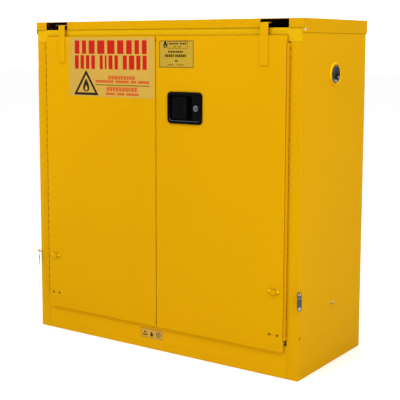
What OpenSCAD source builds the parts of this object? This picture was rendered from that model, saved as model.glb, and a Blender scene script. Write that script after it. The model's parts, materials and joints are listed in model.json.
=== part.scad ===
// Double-wall flammable storage cabinet with two self-closing doors, a three-point paddle latch
// and a mechanism cover on top. Millimetres, +Z up, front towards -Y, floor at z = 0.

/* [Cabinet] */
// Width across the side panels
cabinet_w = 1092; // [1040:1:1150]
// Depth from the front frame face to the back panel
cabinet_d = 457; // [440:1:520]
// Height of the top deck above the floor
deck_h = 1109; // [1080:1:1180]
// Thickness of the steel sheet
sheet = 1.2; // [1:0.1:1.3]
// Air gap between the outer and the inner walls
wall_gap = 38; // [36:1:40]
// Width of the front flange of each side panel
flange_w = 41.2; // [40:0.1:44]
// Depth of the door jamb
jamb_d = 36; // [35:0.5:40]
// Height of the base panel below the doors
base_h = 86; // [80:1:95]
// Height of the base panel's raised ends beside the doors
base_end_z = 107; // [90:1:110]
// Height of the header above the doors
header_h = 22; // [20:1:26]
// Height of the header's ends over the side flanges
header_end_h = 43; // [42:1:46]

/* [Mechanism cover] */
// Height of the cover above the deck
cover_h = 29; // [28:1:34]
// Height of the cover's side flanges
cover_side_h = 44; // [42:1:48]
// Overhang of the cover past the cabinet
cover_lip = 3; // [2:0.5:4]
// Distance of each arm slot's inner end from the middle
slot_inner = 399; // [396:1:401]
// Distance of each arm slot's outer end from the middle
slot_outer = 500; // [496:1:503]

/* [Doors] */
// How far the door faces stand in front of the frame
door_proud = 10; // [9:0.5:11]
// Thickness of a door
door_t = 41; // [40:0.5:42]
// Gap between the two doors
door_gap = 3; // [2.5:0.5:4]
// Gap above and below the doors
door_clear = 1; // [0.5:0.5:3]

/* [Piano hinges] */
// Outer radius of the knuckles
knuckle_r = 4.8; // [4.5:0.1:5]
// Radius of the hinge pin
hinge_pin_r = 2.4; // [2:0.1:2.6]
// Radial clearance of the pin in the knuckles
hinge_fit = 0.06; // [0.02:0.01:0.1]
// Length of one knuckle with its gap
knuckle_pitch = 12.8; // [12.5:0.1:12.8]
// Number of knuckles on one hinge
knuckles = 73; // [61:2:73]
// Height of the lower end of the hinges
hinge_z = 128; // [115:1:130]
// Thickness of a hinge leaf
leaf_t = 1.5; // [1.2:0.1:1.8]

/* [Door arms and closers] */
// Distance of each door arm from the middle
arm_x = 418; // [416:1:420]
// Width of a door arm
arm_w = 28; // [26:1:29]
// Thickness of a door arm
arm_t = 3; // [2.5:0.5:3.5]
// Height of the arm's lower end
arm_z = 992; // [900:1:1040]
// Height of the arm's tail above the deck
tail_rise = 14; // [13:0.5:15]
// Direction of the arm's pin from the hinge, with the door shut
crank_angle = 75; // [74:1:80]
// Distance of each closer spindle from the middle
closer_x = 345; // [340:1:350]
// Distance of each closer spindle behind the frame face
closer_y = 110; // [105:1:120]

/* [Latch] */
// Middle of the latch housing across the door
latch_x = 119.5; // [115:0.5:125]
// Height of the latch's middle
latch_z = 849; // [800:1:900]
// Width of the latch's bezel
bezel_w = 139; // [135:1:145]
// Height of the latch's bezel
bezel_h = 106; // [104:1:112]
// Radius at which the cam pulls the rods
rod_crank = 16; // [15:0.5:17]
// Radius of the latch rods
rod_r = 3.5; // [3:0.5:4]
// How far the rods and the bolt enter their keepers
throw_depth = 8; // [6:0.5:9]

/* [Links and catches] */
// Height of the fusible links' hooks
hook_z = 284; // [270:1:300]
// Distance between the two eyes of a link
link_span = 46; // [44:1:50]
// Width of a link
link_w = 15; // [13:0.5:16]
// Distance of each door catch from the middle
catch_x = 462; // [458:1:466]
// Height of the door catches
catch_z = 280; // [270:1:300]

/* [Inside] */
// Height of the sill pan's floor
pan_z = 48; // [44:1:52]
// Depth of the leakproof sill
sill_h = 51; // [48:1:54]
// Height of the shelf's top
shelf_z = 580; // [400:1:700]

/* [Vents] */
// Distance of the vents behind the frame face
vent_y = 225; // [215:1:245]
// Height of the upper vent, on the right
vent_high_z = 962; // [900:1:980]
// Height of the lower vent, on the left
vent_low_z = 165; // [155:1:200]
// Inner radius of a vent bushing
vent_r = 30.5; // [30:0.1:33]

/* [Small fittings] */
// Distance of the grounding screw behind the frame face
ground_y = 231; // [220:1:245]
// Height of the grounding screw
ground_z = 206; // [180:1:400]
// Radius of the grounding screw
ground_r = 3; // [2.5:0.5:3]
// Height of the two plug rivets low on each door
plug_rivet_z = 140; // [120:1:200]
// Height and depth of the small rivet near each side's front edge
edge_rivet_z = 137; // [120:1:160]
edge_rivet_y = 8; // [6:0.5:12]
// Thickness of the label film
label_t = 0.3; // [0.2:0.1:0.5]
// Depth of the shelf's folded lip
shelf_lip = 22; // [20:1:28]
// Thickness of the shelf standards
standard_t = 2; // [1.5:0.5:2]

/* [Hidden] */
$fn = 64;
side_x = cabinet_w / 2;
back_y = cabinet_d;
seam_x = side_x - flange_w;
inner_back_y = back_y - sheet - wall_gap;
ceiling_z = deck_h - 2 * sheet - wall_gap;
opening_top = deck_h - header_h;
header_end_z = deck_h - header_end_h;
cover_top = deck_h + cover_h;
lip = 15;
hair = 0.6;

hinge_x = seam_x - knuckle_r;
hinge_y = -knuckle_r - 0.2;
knuckle_gap = 0.4;
hinge_top = hinge_z + knuckles * knuckle_pitch;
leaf_d = 26;

door_out_x = hinge_x - knuckle_r;
door_in_x = door_gap / 2;
door_low = base_h + door_clear;
door_high = opening_top - door_clear;
door_face = -door_proud;
relief_rise = 15;
relief_r = 2.2;
door_back = door_face + door_t;

tail_z = deck_h + tail_rise;
crank_r = hinge_x - arm_x;
rod_bar_z = tail_z + arm_t + 0.5;
rod_bar_w = 13;
rod_eye_r = 8;
link_pin_r = 4;
link_fit = 0.05;
vent_wall = 3.4;
vent_gap = 0.2;
spindle_r = 6;
closer_h = 13;

bolt_y = 10.8;
bolt_t = 4.2;
cam_y = bolt_y + bolt_t + 0.6;
cam_t = 2.5;
rod_y = 21.8;
eye_t = 4;
paddle_x = latch_x - 45.5;
paddle_y = door_face + 2;
cam_x = latch_x - 9.5;
bolt_crank = 21;
top_rod_x = cam_x + rod_crank;
bottom_rod_x = cam_x - rod_crank;
lock_x = latch_x + 44.5;
lock_r = 10;
plug_r = 6;
housing_back = 10;
bezel_t = 2.5;

hook_reach = 8;
hook_r = 2.2;
link_t = 3;

cover_screw_y = 10;
cover_screw_z = deck_h - 5;
cover_screw_r = 2.5;
cover_hole_y = 13;
standard_y = [100, 350];
door_label_left = [-384, 875, -6.5, 1082];
door_label_right = [14, 981, 154, 1071];
base_label_at = [-75, 37, 20, 71];

// ---------- shared shapes ----------

// A box between two opposite corners.
module block(low, high) {
    translate(low) cube(high - low);
}

// Moves a shape from the front frame face to the row's own origin.
module at_front() {
    translate([0, -cabinet_d / 2, 0]) children();
}

// The same shape on the left side.
module to_left() {
    mirror([1, 0, 0]) children();
}

// A round bar along X, Y or Z from one point, with its length.
module bar_x(at, r, length) {
    translate(at) rotate([0, 90, 0]) cylinder(r = r, h = length);
}

module bar_y(at, r, length) {
    translate(at) rotate([-90, 0, 0]) cylinder(r = r, h = length);
}

module bar_z(at, r, length) {
    translate(at) cylinder(r = r, h = length);
}

// A plate in the XZ plane with round corners, from its low corner, y running back.
module round_plate(x0, x1, z0, z1, y0, y1, r) {
    block([x0 + r, y0, z0], [x1 - r, y1, z1]);
    block([x0, y0, z0 + r], [x1, y1, z1 - r]);
    for (x = [x0 + r, x1 - r], z = [z0 + r, z1 - r])
        bar_y([x, y0, z], r, y1 - y0);
}

// A domed rivet head that stands forward of a face.
module rivet(x, y, z, r, h) {
    intersection() {
        translate([x, y + r * 0.6, z]) sphere(r = r * 1.17);
        block([x - r, y - h, z - r], [x + r, y, z + r]);
    }
}

// ---------- outer shell ----------

module side_panel(vent_z) {
    difference() {
        union() {
            block([side_x - sheet, 0, 0], [side_x, back_y - sheet, deck_h]);
            block([seam_x, 0, 0], [side_x - sheet, sheet, header_end_z - hair]);
            block([seam_x, sheet, sheet], [seam_x + sheet, jamb_d, opening_top]);
            block([seam_x + sheet, jamb_d - sheet, sheet], [seam_x + lip, jamb_d, opening_top]);
            block([side_x - lip, back_y - 2 * sheet, sheet],
                  [side_x - sheet, back_y - sheet, deck_h - sheet]);
            translate([side_x - 0.4, edge_rivet_y, edge_rivet_z]) rotate([0, 90, 0])
                cylinder(r1 = 3.2, r2 = 2, h = 1.9);
        }
        bar_x([side_x - 5, vent_y, vent_z], vent_r + vent_wall + vent_gap, 10);
        bar_x([side_x - 5, cover_screw_y, cover_screw_z], cover_screw_r + 0.05, 10);
    }
}

module left_side_panel() {
    color("goldenrod") at_front() to_left() side_panel(vent_low_z);
}

module right_side_panel() {
    color("goldenrod") at_front() difference() {
        side_panel(vent_high_z);
        bar_x([side_x - 5, ground_y, ground_z], ground_r + 0.05, 10);
    }
}

module back_panel() {
    color("goldenrod") at_front()
        block([-side_x, back_y - sheet, 0], [side_x, back_y, deck_h]);
}

module top_deck() {
    color("goldenrod") at_front()
        block([sheet - side_x, sheet, deck_h - sheet], [side_x - sheet, back_y - sheet, deck_h]);
}

module floor_panel() {
    color("goldenrod") at_front()
        block([sheet - side_x, sheet, 0], [side_x - sheet, back_y - sheet, sheet]);
}

// Three hat channels that carry the sill pan above the floor panel.
module floor_channels() {
    channel_w = 60;
    foot_w = 20;
    color("goldenrod") at_front()
        for (y = [80, back_y / 2, back_y - 80]) {
            block([-480, y - channel_w / 2, sheet], [480, y - channel_w / 2 + sheet, pan_z]);
            block([-480, y + channel_w / 2 - sheet, sheet], [480, y + channel_w / 2, pan_z]);
            block([-480, y - channel_w / 2, pan_z - sheet], [480, y + channel_w / 2, pan_z]);
            block([-480, y - channel_w / 2 - foot_w, sheet],
                  [480, y - channel_w / 2, 2 * sheet]);
            block([-480, y + channel_w / 2, sheet], [480, y + channel_w / 2 + foot_w, 2 * sheet]);
        }
}

// Kick panel under the doors, with a top return that the latch's bottom rod enters.
module base_panel() {
    color("goldenrod") at_front() difference() {
        union() {
            block([-seam_x + hair, 0, 0], [seam_x - hair, sheet, base_h]);
            block([-seam_x + hair, sheet, base_h - sheet], [seam_x - hair, jamb_d, base_h]);
            block([-seam_x + hair, jamb_d - sheet, base_h - lip],
                  [seam_x - hair, jamb_d, base_h - sheet]);
            for (s = [0, 1])
                mirror([s, 0, 0])
                    block([door_out_x + 1.2, 0, base_h], [seam_x - hair, sheet, base_end_z]);
        }
        bar_z([bottom_rod_x, rod_y, base_h - 5], rod_r + 2, 10);
    }
}

// Front rail over the doors, with lower ends and a stop face behind the door tops.
module header_rail() {
    end_x = hinge_x - knuckle_r + 0.4;
    color("gold") at_front() difference() {
        union() {
            block([sheet - side_x, 0, opening_top], [side_x - sheet, sheet, deck_h]);
            for (s = [-1, 1])
                block([min(s * end_x, s * (side_x - sheet)), 0, header_end_z],
                      [max(s * end_x, s * (side_x - sheet)), sheet, opening_top]);
            block([-seam_x, sheet, opening_top], [seam_x, jamb_d, opening_top + sheet]);
            block([-seam_x, jamb_d - sheet, ceiling_z], [seam_x, jamb_d, opening_top]);
        }
        bar_z([top_rod_x, rod_y, opening_top - 5], rod_r + 2, 10);
    }
}

// ---------- inner shell ----------

module side_liner(vent_z) {
    difference() {
        union() {
            block([seam_x, jamb_d, pan_z], [seam_x + sheet, inner_back_y, ceiling_z]);
            block([seam_x + sheet, jamb_d, pan_z], [seam_x + lip, jamb_d + sheet, ceiling_z]);
        }
        bar_x([seam_x - 5, vent_y, vent_z], vent_r + vent_wall + vent_gap, 10);
    }
}

module left_side_liner() {
    color("gold") at_front() to_left() side_liner(vent_low_z);
}

module right_side_liner() {
    color("gold") at_front() side_liner(vent_high_z);
}

module back_liner() {
    color("gold") at_front()
        block([-seam_x, inner_back_y - sheet, pan_z], [seam_x, inner_back_y, ceiling_z]);
}

module top_liner() {
    color("gold") at_front()
        block([-seam_x - sheet, jamb_d, ceiling_z],
              [seam_x + sheet, inner_back_y, ceiling_z + sheet]);
}

// Leakproof tray: a floor with four welded walls.
module sill_pan() {
    color("gold") at_front() difference() {
        block([-seam_x, jamb_d, pan_z], [seam_x, inner_back_y - sheet, pan_z + sill_h]);
        block([sheet - seam_x, jamb_d + sheet, pan_z + sheet],
              [seam_x - sheet, inner_back_y - 2 * sheet, pan_z + sill_h + 1]);
    }
}

// ---------- mechanism cover ----------

module mechanism_cover() {
    side = side_x + cover_lip;
    color("goldenrod") at_front() difference() {
        union() {
            block([-side, -cover_lip, cover_top - sheet],
                  [side, back_y + cover_lip, cover_top]);
            block([-side, -cover_lip, deck_h + 0.3], [side, sheet - cover_lip, cover_top]);
            for (s = [0, 1])
                mirror([s, 0, 0])
                    block([side - sheet, -cover_lip, cover_top - cover_side_h],
                          [side, back_y + cover_lip, cover_top]);
            block([-side, back_y + cover_lip - sheet, cover_top - cover_side_h],
                  [side, back_y + cover_lip, cover_top]);
        }
        for (s = [0, 1])
            mirror([s, 0, 0]) {
                block([slot_inner, -cover_lip - 1, deck_h - 1],
                      [slot_outer, sheet - cover_lip + 1, cover_top - sheet - 0.4]);
                bar_x([side - 5, cover_screw_y, cover_screw_z], cover_screw_r + 0.05, 10);
                bar_x([side - 5, cover_hole_y, cover_top - 4.2], 1.9, 10);
            }
    }
}

// Pan-head screws through the cover's side flanges into the side panels.
module cover_screws() {
    color("silver") at_front()
        for (s = [0, 1])
            mirror([s, 0, 0])
                translate([side_x, cover_screw_y, cover_screw_z]) {
                    bar_x([-8, 0, 0], cover_screw_r, 8 + cover_lip);
                    difference() {
                        bar_x([cover_lip, 0, 0], 4.8, 2.6);
                        for (turn = [0, 90])
                            rotate([turn, 0, 0])
                                block([cover_lip + 1.2, -4, -0.6], [cover_lip + 3, 4, 0.6]);
                    }
                }
}

// ---------- piano hinges ----------

// One leaf with every second knuckle; outward is 1 for the frame's leaf, -1 for the door's.
module hinge_leaf(outward, first) {
    tangent_x = hinge_x + outward * knuckle_r;
    low_x = min(tangent_x, tangent_x - outward * leaf_t);
    difference() {
        union() {
            block([low_x, 0.3, hinge_z], [low_x + leaf_t, leaf_d, hinge_top]);
            for (i = [first : 2 : knuckles - 1]) {
                z = hinge_z + i * knuckle_pitch + knuckle_gap / 2;
                bar_z([hinge_x, hinge_y, z], knuckle_r, knuckle_pitch - knuckle_gap);
                block([low_x, hinge_y, z],
                      [low_x + leaf_t, 0.4, z + knuckle_pitch - knuckle_gap]);
            }
        }
        bar_z([hinge_x, hinge_y, hinge_z - 1], hinge_pin_r + hinge_fit,
              hinge_top - hinge_z + 2);
    }
}

module left_frame_hinge() {
    color("goldenrod") at_front() to_left() hinge_leaf(1, 0);
}

module right_frame_hinge() {
    color("goldenrod") at_front() hinge_leaf(1, 0);
}

module left_door_hinge() {
    color("goldenrod") at_front() to_left() hinge_leaf(-1, 1);
}

module right_door_hinge() {
    color("goldenrod") at_front() hinge_leaf(-1, 1);
}

// Hinge pins with a peened head at each end.
module hinge_pins() {
    color("silver") at_front()
        for (s = [0, 1])
            mirror([s, 0, 0]) {
                bar_z([hinge_x, hinge_y, hinge_z - 0.8], hinge_pin_r,
                      hinge_top - hinge_z + 1.6);
                bar_z([hinge_x, hinge_y, hinge_z - 1], 3.4, 1.1);
                bar_z([hinge_x, hinge_y, hinge_top - 0.1], 3.4, 1.1);
            }
}

// ---------- doors ----------

// Outer door skin, folded back on all four edges.
module door_skin() {
    difference() {
        block([door_in_x, door_face, door_low], [door_out_x, door_back, door_high]);
        block([door_in_x + sheet, door_face + sheet, door_low + sheet],
              [door_out_x - sheet, door_back + 1, door_high - sheet]);
        block([door_in_x - 1, bolt_y - 0.5, latch_z - 9.5],
              [door_in_x + sheet + 1, bolt_y + bolt_t + 0.5, latch_z + 9.5]);
        for (z = [door_low + relief_rise, door_high - relief_rise])
            bar_y([door_in_x, door_face - 1, z], relief_r, 6);
    }
}

module left_door_skin() {
    color("goldenrod") at_front() to_left() door_skin();
}

module right_door_skin() {
    color("goldenrod") at_front() difference() {
        door_skin();
        block([latch_x - 63, door_face - 1, latch_z - 45],
              [latch_x + 64, door_face + sheet + 1, latch_z + 45]);
        bar_z([top_rod_x, rod_y, door_high - 5], rod_r + 0.5, 10);
        bar_z([bottom_rod_x, rod_y, door_low - 5], rod_r + 0.5, 10);
    }
}

// Inner door pan, folded forward and welded inside the skin.
module door_liner() {
    fold = 12;
    x0 = door_in_x + sheet;
    x1 = door_out_x - sheet;
    z0 = door_low + sheet;
    z1 = door_high - sheet;
    difference() {
        block([x0, door_back - fold, z0], [x1, door_back, z1]);
        block([x0 + sheet, door_back - fold - 1, z0 + sheet],
              [x1 - sheet, door_back - sheet, z1 - sheet]);
    }
}

module left_door_liner() {
    color("gold") at_front() to_left() door_liner();
}

module right_door_liner() {
    color("gold") at_front() difference() {
        door_liner();
        bar_z([top_rod_x, rod_y, door_high - 5], rod_r + 0.5, 10);
        bar_z([bottom_rod_x, rod_y, door_low - 5], rod_r + 0.5, 10);
    }
}

// Flat arm: up the door face, over in a bend and back in an arc round the hinge to a pin.
module door_arm() {
    x0 = arm_x - arm_w / 2;
    bend_r = 5;
    strap_y = door_face - arm_t;
    bend_z = tail_z + arm_t - bend_r;
    block([x0, strap_y, arm_z], [x0 + arm_w, door_face, bend_z]);
    translate([x0, strap_y + bend_r, bend_z]) rotate([0, 90, 0]) rotate([0, 0, 180])
        rotate_extrude(angle = 90) translate([bend_r - arm_t, 0]) square([arm_t, arm_w]);
    block([x0, strap_y + bend_r, tail_z], [x0 + arm_w, hinge_y, tail_z + arm_t]);
    translate([hinge_x, hinge_y, tail_z]) linear_extrude(arm_t) crank_arc();
    pin_at = crank_point(hinge_x, hinge_y);
    bar_z([pin_at.x, pin_at.y, tail_z], arm_w / 2 + 1, arm_t);
    link_pin(pin_at);
}

// A ring round the hinge, kept from the strap to the pin.
module crank_arc() {
    outer = crank_r + arm_w / 2;
    difference() {
        circle(r = outer);
        circle(r = crank_r - arm_w / 2);
        translate([-2 * outer, -2 * outer]) square([4 * outer, 2 * outer]);
        rotate(crank_angle - 180) translate([-2 * outer, 0]) square([4 * outer, 2 * outer]);
    }
}

// The crank's pin, seen from its own pivot.
function crank_point(x, y) =
    [x + crank_r * cos(crank_angle), y + crank_r * sin(crank_angle)];

// A headed pin that stands on a crank and carries a link rod.
module link_pin(at) {
    bar_z([at.x, at.y, tail_z], link_pin_r, rod_bar_z + arm_t + 0.3 - tail_z);
    bar_z([at.x, at.y, rod_bar_z + arm_t + 0.3], 6.5, 1.6);
}

module left_door_arm() {
    color("goldenrod") at_front() to_left() door_arm();
}

module right_door_arm() {
    color("goldenrod") at_front() door_arm();
}

// Bridge-shaped catch that a fusible link hooks into while the door stands open.
module link_catch() {
    strap_t = 1.5;
    rise = 8;
    half = 22;
    z0 = catch_z - 7;
    z1 = catch_z + 7;
    for (s = [-1, 1]) {
        x_foot = catch_x + s * half;
        x_web = catch_x + s * 8.5;
        block([min(x_foot, x_web), door_face - strap_t, z0],
              [max(x_foot, x_web), door_face, z1]);
        block([min(x_web, x_web - s * strap_t), door_face - rise, z0],
              [max(x_web, x_web - s * strap_t), door_face, z1]);
    }
    block([catch_x - 8.5, door_face - rise, z0],
          [catch_x + 8.5, door_face - rise + strap_t, z1]);
}

module left_link_catch() {
    color("goldenrod") at_front() to_left() link_catch();
}

module right_link_catch() {
    color("goldenrod") at_front() link_catch();
}

// Domed rivets: two on the catch and two plugs below it.
module door_rivets() {
    for (s = [-1, 1]) {
        rivet(catch_x + s * 14.75, door_face - 1.5, catch_z, 5.2, 2.8);
        rivet(catch_x + s * 14.25, door_face, plug_rivet_z, 4.2, 1.8);
    }
}

module left_door_rivets() {
    color("goldenrod") at_front() to_left() door_rivets();
}

module right_door_rivets() {
    color("goldenrod") at_front() door_rivets();
}

// A film on a front face, between two corners given as [x0, z0, x1, z1].
module label_film(rect, face_y) {
    block([rect[0], face_y - label_t, rect[1]], [rect[2], face_y, rect[3]]);
}

module left_door_label() {
    color("khaki") at_front() label_film(door_label_left, door_face);
}

module right_door_label() {
    color("khaki") at_front() label_film(door_label_right, door_face);
}

module base_label() {
    color("lightgray") at_front() label_film(base_label_at, 0);
}

// ---------- closers ----------

// Low spring closer on the deck, with a bore for its spindle.
module closer() {
    difference() {
        union() {
            block([closer_x - 75, closer_y - 55, deck_h],
                  [closer_x + 50, closer_y + 18, deck_h + closer_h]);
            block([closer_x - 45, closer_y - 55, deck_h],
                  [closer_x + 50, closer_y - 26, deck_h + closer_h + 4]);
            for (x = [closer_x - 84, closer_x + 50])
                block([x, closer_y - 40, deck_h], [x + 9, closer_y, deck_h + 3]);
        }
        bar_z([closer_x, closer_y, deck_h + 2], spindle_r + link_fit, closer_h);
    }
}

module left_closer() {
    color("dimgray") at_front() to_left() closer();
}

module right_closer() {
    color("dimgray") at_front() closer();
}

// Crank lever on the closer's spindle, parallel to the door arm's crank.
module closer_lever() {
    pin_at = crank_point(closer_x, closer_y);
    bar_z([closer_x, closer_y, deck_h + 2.4], spindle_r, tail_z - deck_h);
    bar_z([closer_x, closer_y, tail_z], 11, arm_t);
    bar_z([pin_at.x, pin_at.y, tail_z], 9, arm_t);
    translate([closer_x, closer_y, tail_z])
        rotate([0, 0, crank_angle])
            translate([0, -7, 0]) cube([crank_r, 14, arm_t]);
    link_pin(pin_at);
}

module left_closer_lever() {
    color("silver") at_front() to_left() closer_lever();
}

module right_closer_lever() {
    color("silver") at_front() closer_lever();
}

// Flat bar between the two crank pins.
module link_rod() {
    near = crank_point(hinge_x, hinge_y);
    far = crank_point(closer_x, closer_y);
    length = norm(far - near);
    translate([near.x, near.y, rod_bar_z])
        rotate([0, 0, atan2(far.y - near.y, far.x - near.x)])
            difference() {
                union() {
                    translate([0, -rod_bar_w / 2, 0]) cube([length, rod_bar_w, arm_t]);
                    for (x = [0, length])
                        bar_z([x, 0, 0], rod_eye_r, arm_t);
                }
                for (x = [0, length])
                    bar_z([x, 0, -1], link_pin_r + link_fit, arm_t + 2);
            }
}

module left_link_rod() {
    color("silver") at_front() to_left() link_rod();
}

module right_link_rod() {
    color("silver") at_front() link_rod();
}

// ---------- fusible links ----------

// Turns a shape that lies along X onto the outward diagonal of the front right corner.
module on_corner() {
    translate([side_x - 0.5, 0.5, hook_z]) rotate([0, 0, -45]) children();
}

// Wire hook that stands out from the corner, on a plate riveted to the side panel.
module link_hook() {
    block([side_x, 1, hook_z - 9], [side_x + 1.8, 20, hook_z + 9]);
    difference() {
        on_corner() {
            bar_x([0, 0, 0], hook_r, hook_reach + 6);
            bar_z([hook_reach + 6, 0, -hook_r], hook_r, 7 + hook_r);
        }
        block([side_x - 9, -0.01, hook_z - 9], [side_x, 9, hook_z + 9]);
    }
    bar_x([side_x + 1.8, 13, hook_z], 3.4, 1.6);
}

module link_hooks() {
    color("silver") at_front()
        for (s = [0, 1])
            mirror([s, 0, 0]) link_hook();
}

// Two overlapping eye plates, joined in the middle by the fusible solder.
module fusible_link() {
    eye_r = 2.9;
    half = link_t / 2;
    overlap = 18;
    on_corner() difference() {
        union() {
            plate_pair(hook_reach - half, 0, -link_span / 2 - overlap / 2, half);
            plate_pair(hook_reach, -link_span, -link_span / 2 + overlap / 2, half);
        }
        for (z = [0, -link_span])
            bar_x([0, 0, z], eye_r, 20);
    }
}

// One eye plate from a round end to a square end.
module plate_pair(x, z_eye, z_end, t) {
    bar_x([x, 0, z_eye], link_w / 2, t);
    block([x, -link_w / 2, min(z_eye, z_end)], [x + t, link_w / 2, max(z_eye, z_end)]);
}

module left_fusible_link() {
    color("slategray") at_front() to_left() fusible_link();
}

module right_fusible_link() {
    color("slategray") at_front() fusible_link();
}

// ---------- latch ----------

// Bezel and dish, with a well for the paddle, a finger recess and a raised lock platform.
module latch_housing() {
    x0 = latch_x - bezel_w / 2;
    x1 = latch_x + bezel_w / 2;
    z0 = latch_z - bezel_h / 2;
    z1 = latch_z + bezel_h / 2;
    front = door_face - bezel_t;
    color("#1b1b1d") at_front() difference() {
        union() {
            round_plate(x0, x1, z0, z1, front, door_face, 14);
            block([latch_x - 62, door_face, latch_z - 44.5],
                  [latch_x + 63.5, housing_back, latch_z + 44.5]);
            block([lock_x - 11, front - 0.8, latch_z + 15], [lock_x + 11, front, latch_z + 19]);
        }
        block([latch_x - 58, front - 1, latch_z - 41], [latch_x + 31, paddle_y + 5.2, latch_z + 41]);
        block([latch_x - 8, front - 1, latch_z - 37],
              [latch_x + 31, housing_back - 3, latch_z + 37]);
        block([latch_x - 50, paddle_y, latch_z - 5], [latch_x - 26, housing_back + 1, latch_z + 5]);
        difference() {
            block([latch_x + 34, door_face + 2, latch_z - 41],
                  [latch_x + 60, housing_back + 1, latch_z + 41]);
            bar_y([lock_x, door_face, latch_z], lock_r + 3, 30);
        }
        bar_y([lock_x, front - 1, latch_z], lock_r + 0.05, 40);
        bar_z([paddle_x, paddle_y, latch_z - 43], 2.55, 86);
    }
}

// Paddle that is pulled at its right edge, with a tang that moves the bolt.
module latch_paddle() {
    front = door_face - 4;
    color("#26262a") at_front() difference() {
        union() {
            round_plate(latch_x - 49.5, latch_x + 8, latch_z - 36.5, latch_z + 36.5,
                        front, front + 4.5, 3);
            block([latch_x + 4.5, front + 4.4, latch_z - 33], [latch_x + 8, front + 8,
                  latch_z + 33]);
            bar_z([paddle_x, paddle_y, latch_z - 36.5], 4.5, 73);
            block([paddle_x - 2.5, paddle_y, latch_z - 3.5],
                  [paddle_x + 2.5, paddle_y + bolt_crank, latch_z + 3.5]);
            bar_z([paddle_x, paddle_y + bolt_crank, latch_z - 3.5], 2.5, 7);
        }
        bar_z([paddle_x, paddle_y, latch_z - 40], 2.56, 80);
        bar_y([latch_x - 12.5, front - 1, latch_z], 6.5, 2.6);
    }
}

module paddle_pin() {
    color("silver") at_front() bar_z([paddle_x, paddle_y, latch_z - 42.6], 2.5, 85.2);
}

// Sliding bolt: its nose enters the left door's edge, its lug is moved by the cam.
module centre_bolt() {
    color("silver") at_front() difference() {
        union() {
            block([-door_in_x - throw_depth, bolt_y, latch_z - 9],
                  [cam_x - 20, bolt_y + bolt_t, latch_z + 9]);
            block([cam_x - 30, bolt_y, latch_z + 9],
                  [cam_x + 10, bolt_y + bolt_t, latch_z + 30]);
        }
        block([paddle_x - 4.5, bolt_y - 1, latch_z - 4.5],
              [paddle_x + 4.5, bolt_y + bolt_t + 1, latch_z + 4.5]);
        block([cam_x - 4, bolt_y - 1, latch_z + 13.6],
              [cam_x + 4, bolt_y + bolt_t + 1, latch_z + 25]);
    }
}

// Cam plate with one pin for the bolt and two for the rods.
module latch_cam() {
    color("silver") at_front() difference() {
        union() {
            bar_y([cam_x, cam_y, latch_z], 9, cam_t);
            bar_y([cam_x, cam_y, latch_z], 7, 8);
            block([cam_x - rod_crank, cam_y, latch_z - 5.5],
                  [cam_x + rod_crank, cam_y + cam_t, latch_z + 5.5]);
            block([cam_x - 5.5, cam_y, latch_z],
                  [cam_x + 5.5, cam_y + cam_t, latch_z + bolt_crank]);
            bar_y([cam_x, cam_y, latch_z + bolt_crank], 5.5, cam_t);
            bar_y([cam_x, bolt_y + 0.4, latch_z + bolt_crank], 3, cam_y - bolt_y);
            for (s = [-1, 1]) {
                bar_y([cam_x + s * rod_crank, cam_y, latch_z], 5.5, cam_t);
                bar_y([cam_x + s * rod_crank, cam_y, latch_z], 2.6, cam_t + 6);
            }
        }
        bar_y([cam_x, cam_y - 1, latch_z], rod_r + link_fit, 20);
    }
}

// A latch rod with a slotted eye on the cam's pin; up is 1 for the top rod, -1 for the bottom one.
module latch_rod(x, z_end, up) {
    eye_h = 9;
    rod_foot = latch_z + up * (eye_h - 1);
    difference() {
        block([x - 8.5, rod_y - eye_t / 2, latch_z - eye_h],
              [x + 8.5, rod_y + eye_t / 2, latch_z + eye_h]);
        block([x - 6, rod_y - eye_t, latch_z - 3.6], [x + 6, rod_y + eye_t, latch_z + 3.6]);
    }
    bar_z([x, rod_y, min(rod_foot, z_end)], rod_r, abs(z_end - rod_foot));
}

module top_rod() {
    color("silver") at_front() latch_rod(top_rod_x, door_high + throw_depth, 1);
}

module bottom_rod() {
    color("silver") at_front() latch_rod(bottom_rod_x, door_low - throw_depth, -1);
}

// Guide blocks for the rods and the bolt, and the post that the cam turns on.
module rod_guides() {
    pan_y = door_back - sheet;
    color("silver") at_front() {
        difference() {
            for (z = [latch_z + 90, door_high - 60])
                block([top_rod_x - 9, rod_y - 7, z], [top_rod_x + 9, pan_y, z + 14]);
            bar_z([top_rod_x, rod_y, latch_z], rod_r + 0.08, 600);
        }
        difference() {
            for (z = [latch_z - 104, door_low + 46])
                block([bottom_rod_x - 9, rod_y - 7, z], [bottom_rod_x + 9, pan_y, z + 14]);
            bar_z([bottom_rod_x, rod_y, 0], rod_r + 0.08, latch_z);
        }
        difference() {
            block([door_in_x + 12, bolt_y - 2.6, latch_z - 14],
                  [door_in_x + 24, pan_y, latch_z + 14]);
            block([0, bolt_y - 0.1, latch_z - 9.1], [60, bolt_y + bolt_t + 0.1, latch_z + 9.1]);
        }
        bar_y([cam_x, cam_y, latch_z], rod_r, pan_y - cam_y);
        bar_y([cam_x, cam_y + 8.4, latch_z], 7, pan_y - cam_y - 8.4);
    }
}

module lock_barrel() {
    color("silver") at_front() difference() {
        union() {
            bar_y([lock_x, door_face - bezel_t, latch_z], lock_r, housing_back - door_face);
            bar_y([lock_x, door_face - bezel_t - 2, latch_z], lock_r - 0.8, 3);
        }
        bar_y([lock_x, door_face - 8, latch_z], plug_r + 0.05, 40);
    }
}

// Key plug with its keyway and the locking tongue behind it.
module lock_plug() {
    front = door_face - bezel_t - 2.4;
    color("silver") at_front() difference() {
        union() {
            bar_y([lock_x, front, latch_z], plug_r, housing_back + 2.8 - front);
            block([lock_x - 5, housing_back + 0.4, latch_z - 24],
                  [lock_x + 5, housing_back + 2.8, latch_z]);
        }
        block([lock_x - 0.8, front - 1, latch_z - 3.7], [lock_x + 0.8, front + 6, latch_z + 3.7]);
    }
}

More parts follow.
